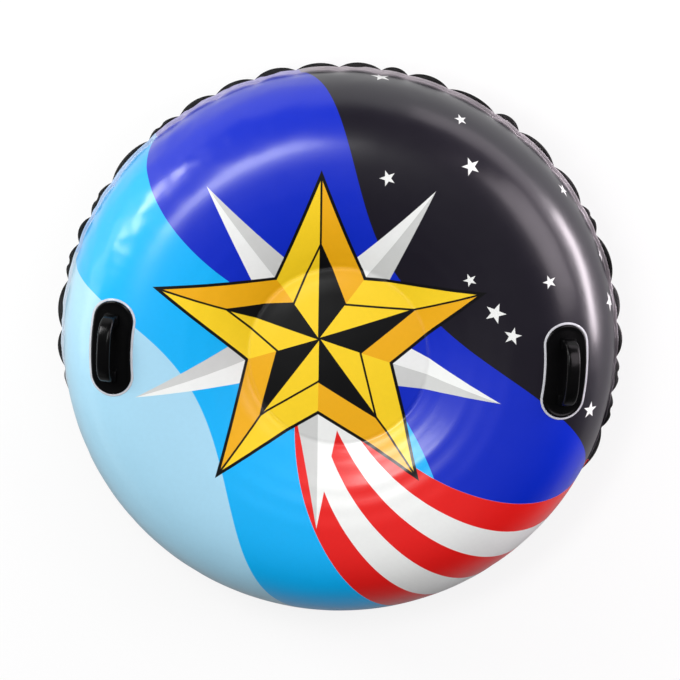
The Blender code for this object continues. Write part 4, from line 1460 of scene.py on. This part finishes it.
# Piece, its maker, its finish, its body, its slot and the node that it stands for
VALVE_PIECES = (
    ("socket_ring", socket_shape, "valve_plastic_look", "tube", "valve_plastic", "valve_socket"),
    ("sealing_ring", seal_shape, "seal_rubber_look", "seal", "seal_rubber", "valve_seal"),
    ("screw_insert", insert_shape, "valve_plastic_look", "insert", "valve_plastic", "valve_insert"),
    ("one_way_disc", disc_shape, "silicone_look", "mushroom", "silicone", "check_mushroom"),
    ("cap_keeper", keeper_shape, "valve_plastic_look", "insert", "valve_plastic", "cap_tether"),
    ("inlet_cap", cap_shape, "valve_plastic_look", "cap", "valve_plastic", "valve_cap"),
)


class SNOWTUBE_OT_valve(bpy.types.Operator):
    """Build the pieces of the air valve"""

    bl_idname = "snow_tube.valve"
    bl_label = "Valve"
    bl_options = {"REGISTER", "UNDO"}

    def execute(self, context):
        for name, shape, finish, body, slot, node in VALVE_PIECES:
            work = bmesh.new()
            shape(work)
            bmesh.ops.recalc_face_normals(work, faces=work.faces)
            shown_piece(name, work, finish_of(finish), body, slot, node)
        return {"FINISHED"}


def floor_material(colour):
    """A pale floor that keeps the tube's shadow and is lifted towards white where it is seen."""
    made, tree, shader = new_material("pale_floor")
    rays = add_node(tree, "LightPath").outputs
    hidden = (*[part * FLOOR_BOUNCE for part in colour], 1.0)
    tone = blend_colour(tree, rays["Is Camera Ray"], hidden, (*colour, 1.0))
    feed_named(tree, shader, Base_Color=tone, Roughness=FLOOR_ROUGHNESS)
    mirrored = sums(tree, "MAXIMUM", rays["Is Glossy Ray"], rays["Is Transmission Ray"])
    along = vectors(tree, "DOT_PRODUCT", object_place(tree), LIT_SIDE, output="Value")
    share = sums(tree, "MULTIPLY", mirrored, ramp(tree, along, *FLOOR_SHINE_ENDS, *FLOOR_SHINE))
    lift = sums(tree, "MULTIPLY_ADD", rays["Is Camera Ray"], FLOOR_LIFT, share)
    glow = add_node(tree, "Emission")
    mixed = add_node(tree, "MixShader", lift, shader.outputs[0], glow.outputs[0])
    feed_named(tree, tree.nodes["Material Output"], Surface=mixed.outputs[0])
    return made


def soft_light(name, azimuth, elevation, distance, width, height, power, colour):
    """A rectangular soft light that faces the seat."""
    data = bpy.data.lights.new(name, "AREA")
    data.shape = "RECTANGLE"
    data.size = width
    data.size_y = height
    data.energy = power
    data.color = colour
    light = bpy.data.objects.new(name, data)
    around, rise = math.radians(azimuth), math.radians(elevation)
    away = Vector((math.cos(around), math.sin(around), math.tan(rise))).normalized()
    light.location = LIGHT_CENTRE + away * distance
    light.rotation_euler = (-away).to_track_quat("-Z", "Y").to_euler()
    light.visible_camera = False
    bpy.context.scene.collection.objects.link(light)


def studio_world(settings):
    """Even light, with surroundings that look white at the horizon and darker overhead."""
    world = bpy.data.worlds.new("studio")
    world.use_nodes = True
    tree = world.node_tree
    direction = add_node(tree, "TexCoord").outputs["Generated"]
    rise = add_node(tree, "SeparateXYZ", direction).outputs[2]
    seen = ramp(tree, rise, *HORIZON_ENDS, 1.0, settings.zenith)
    along = vectors(tree, "DOT_PRODUCT", direction, BRIGHT_SIDE, output="Value")
    rays = add_node(tree, "LightPath").outputs
    side = sums(tree, "MAXIMUM", ramp(tree, along, *DIM_ENDS, DIM_SHARE, 1.0), rays["Is Camera Ray"])
    bright = sums(tree, "MAXIMUM", sums(tree, "MULTIPLY_ADD", along, settings.lean, 1.0), 0.0)
    white_rays = sums(tree, "MAXIMUM", rays["Is Camera Ray"], rays["Is Glossy Ray"])
    white_rays = sums(tree, "MAXIMUM", white_rays, rays["Is Transmission Ray"])
    level = add_node(tree, "Mix", white_rays)
    feed(tree, level.inputs[2], sums(tree, "MULTIPLY", bright, settings.world_level))
    feed(tree, level.inputs[3], sums(tree, "MULTIPLY", seen, side))
    feed_named(tree, tree.nodes["Background"], Color=(*WHITE, 1.0), Strength=level.outputs[0])
    return world


class SNOWTUBE_OT_stage(bpy.types.Operator):
    """Set the floor, the soft lights and the camera"""

    bl_idname = "snow_tube.stage"
    bl_label = "Stage"
    bl_options = {"REGISTER", "UNDO"}

    def execute(self, context):
        scene = context.scene
        settings = scene.snow_tube_stage
        work = bmesh.new()
        place = Matrix.Translation((0.0, 0.0, -GAP))
        bmesh.ops.create_grid(work, x_segments=1, y_segments=1, size=FLOOR_SIZE, matrix=place)
        mesh = bpy.data.meshes.new("floor")
        work.to_mesh(mesh)
        work.free()
        mesh.materials.append(floor_material(settings.floor_colour))
        floor = bpy.data.objects.new("floor", mesh)
        scene.collection.objects.link(floor)

        scene.world = studio_world(settings)
        for name, setting in SOFT_LIGHTS.items():
            soft_light(name, *setting)

        camera_data = bpy.data.cameras.new("photo_camera")
        camera_data.lens = settings.lens
        camera_data.clip_end = CAMERA_REACH
        camera = bpy.data.objects.new("photo_camera", camera_data)
        back = Vector((0.0, math.cos(settings.elevation), math.sin(settings.elevation)))
        right = Vector((1.0, 0.0, 0.0))
        facing = Matrix((right, back.cross(right), back)).transposed()
        facing = facing @ Matrix.Rotation(settings.roll, 3, "Z")
        spot = Vector(CAMERA_TARGET) + back * settings.distance
        camera.matrix_world = Matrix.LocRotScale(spot, facing.to_quaternion(), None)
        scene.collection.objects.link(camera)
        scene.camera = camera
        scene.view_settings.view_transform = "Standard"
        return {"FINISHED"}


class SNOWTUBE_PT_pieces(bpy.types.Panel):
    """Lists the tube's operators and settings"""

    bl_label = "Snow tube"
    bl_idname = "SNOWTUBE_PT_pieces"
    bl_space_type = "VIEW_3D"
    bl_region_type = "UI"
    bl_category = "Snow tube"

    def draw(self, context):
        for operator in OPERATORS:
            self.layout.operator(operator.bl_idname)
        for settings in SETTINGS:
            group = getattr(context.scene, settings)
            box = self.layout.box()
            for name in group.bl_rna.properties.keys():
                if name not in ("name", "rna_type"):
                    box.prop(group, name)


SETTINGS = {
    "snow_tube_film": FilmSettings,
    "snow_tube_print": PrintColours,
    "snow_tube_stage": StageSettings,
}
OPERATORS = (
    SNOWTUBE_OT_top_film,
    SNOWTUBE_OT_bottom_film,
    SNOWTUBE_OT_baffle,
    SNOWTUBE_OT_handle_bases,
    SNOWTUBE_OT_weld_edges,
    SNOWTUBE_OT_doublers,
    SNOWTUBE_OT_grips,
    SNOWTUBE_OT_valve,
    SNOWTUBE_OT_stage,
)
CLASSES = (*SETTINGS.values(), *OPERATORS, SNOWTUBE_PT_pieces)


def register():
    for kind in CLASSES:
        bpy.utils.register_class(kind)
    for name, kind in SETTINGS.items():
        setattr(bpy.types.Scene, name, bpy.props.PointerProperty(type=kind))


def unregister():
    for name in SETTINGS:
        delattr(bpy.types.Scene, name)
    for kind in reversed(CLASSES):
        bpy.utils.unregister_class(kind)


def main():
    """Builds every piece in order."""
    register()
    for operator in OPERATORS:
        family, name = operator.bl_idname.split(".")
        getattr(getattr(bpy.ops, family), name)()


if __name__ == "__main__":
    main()
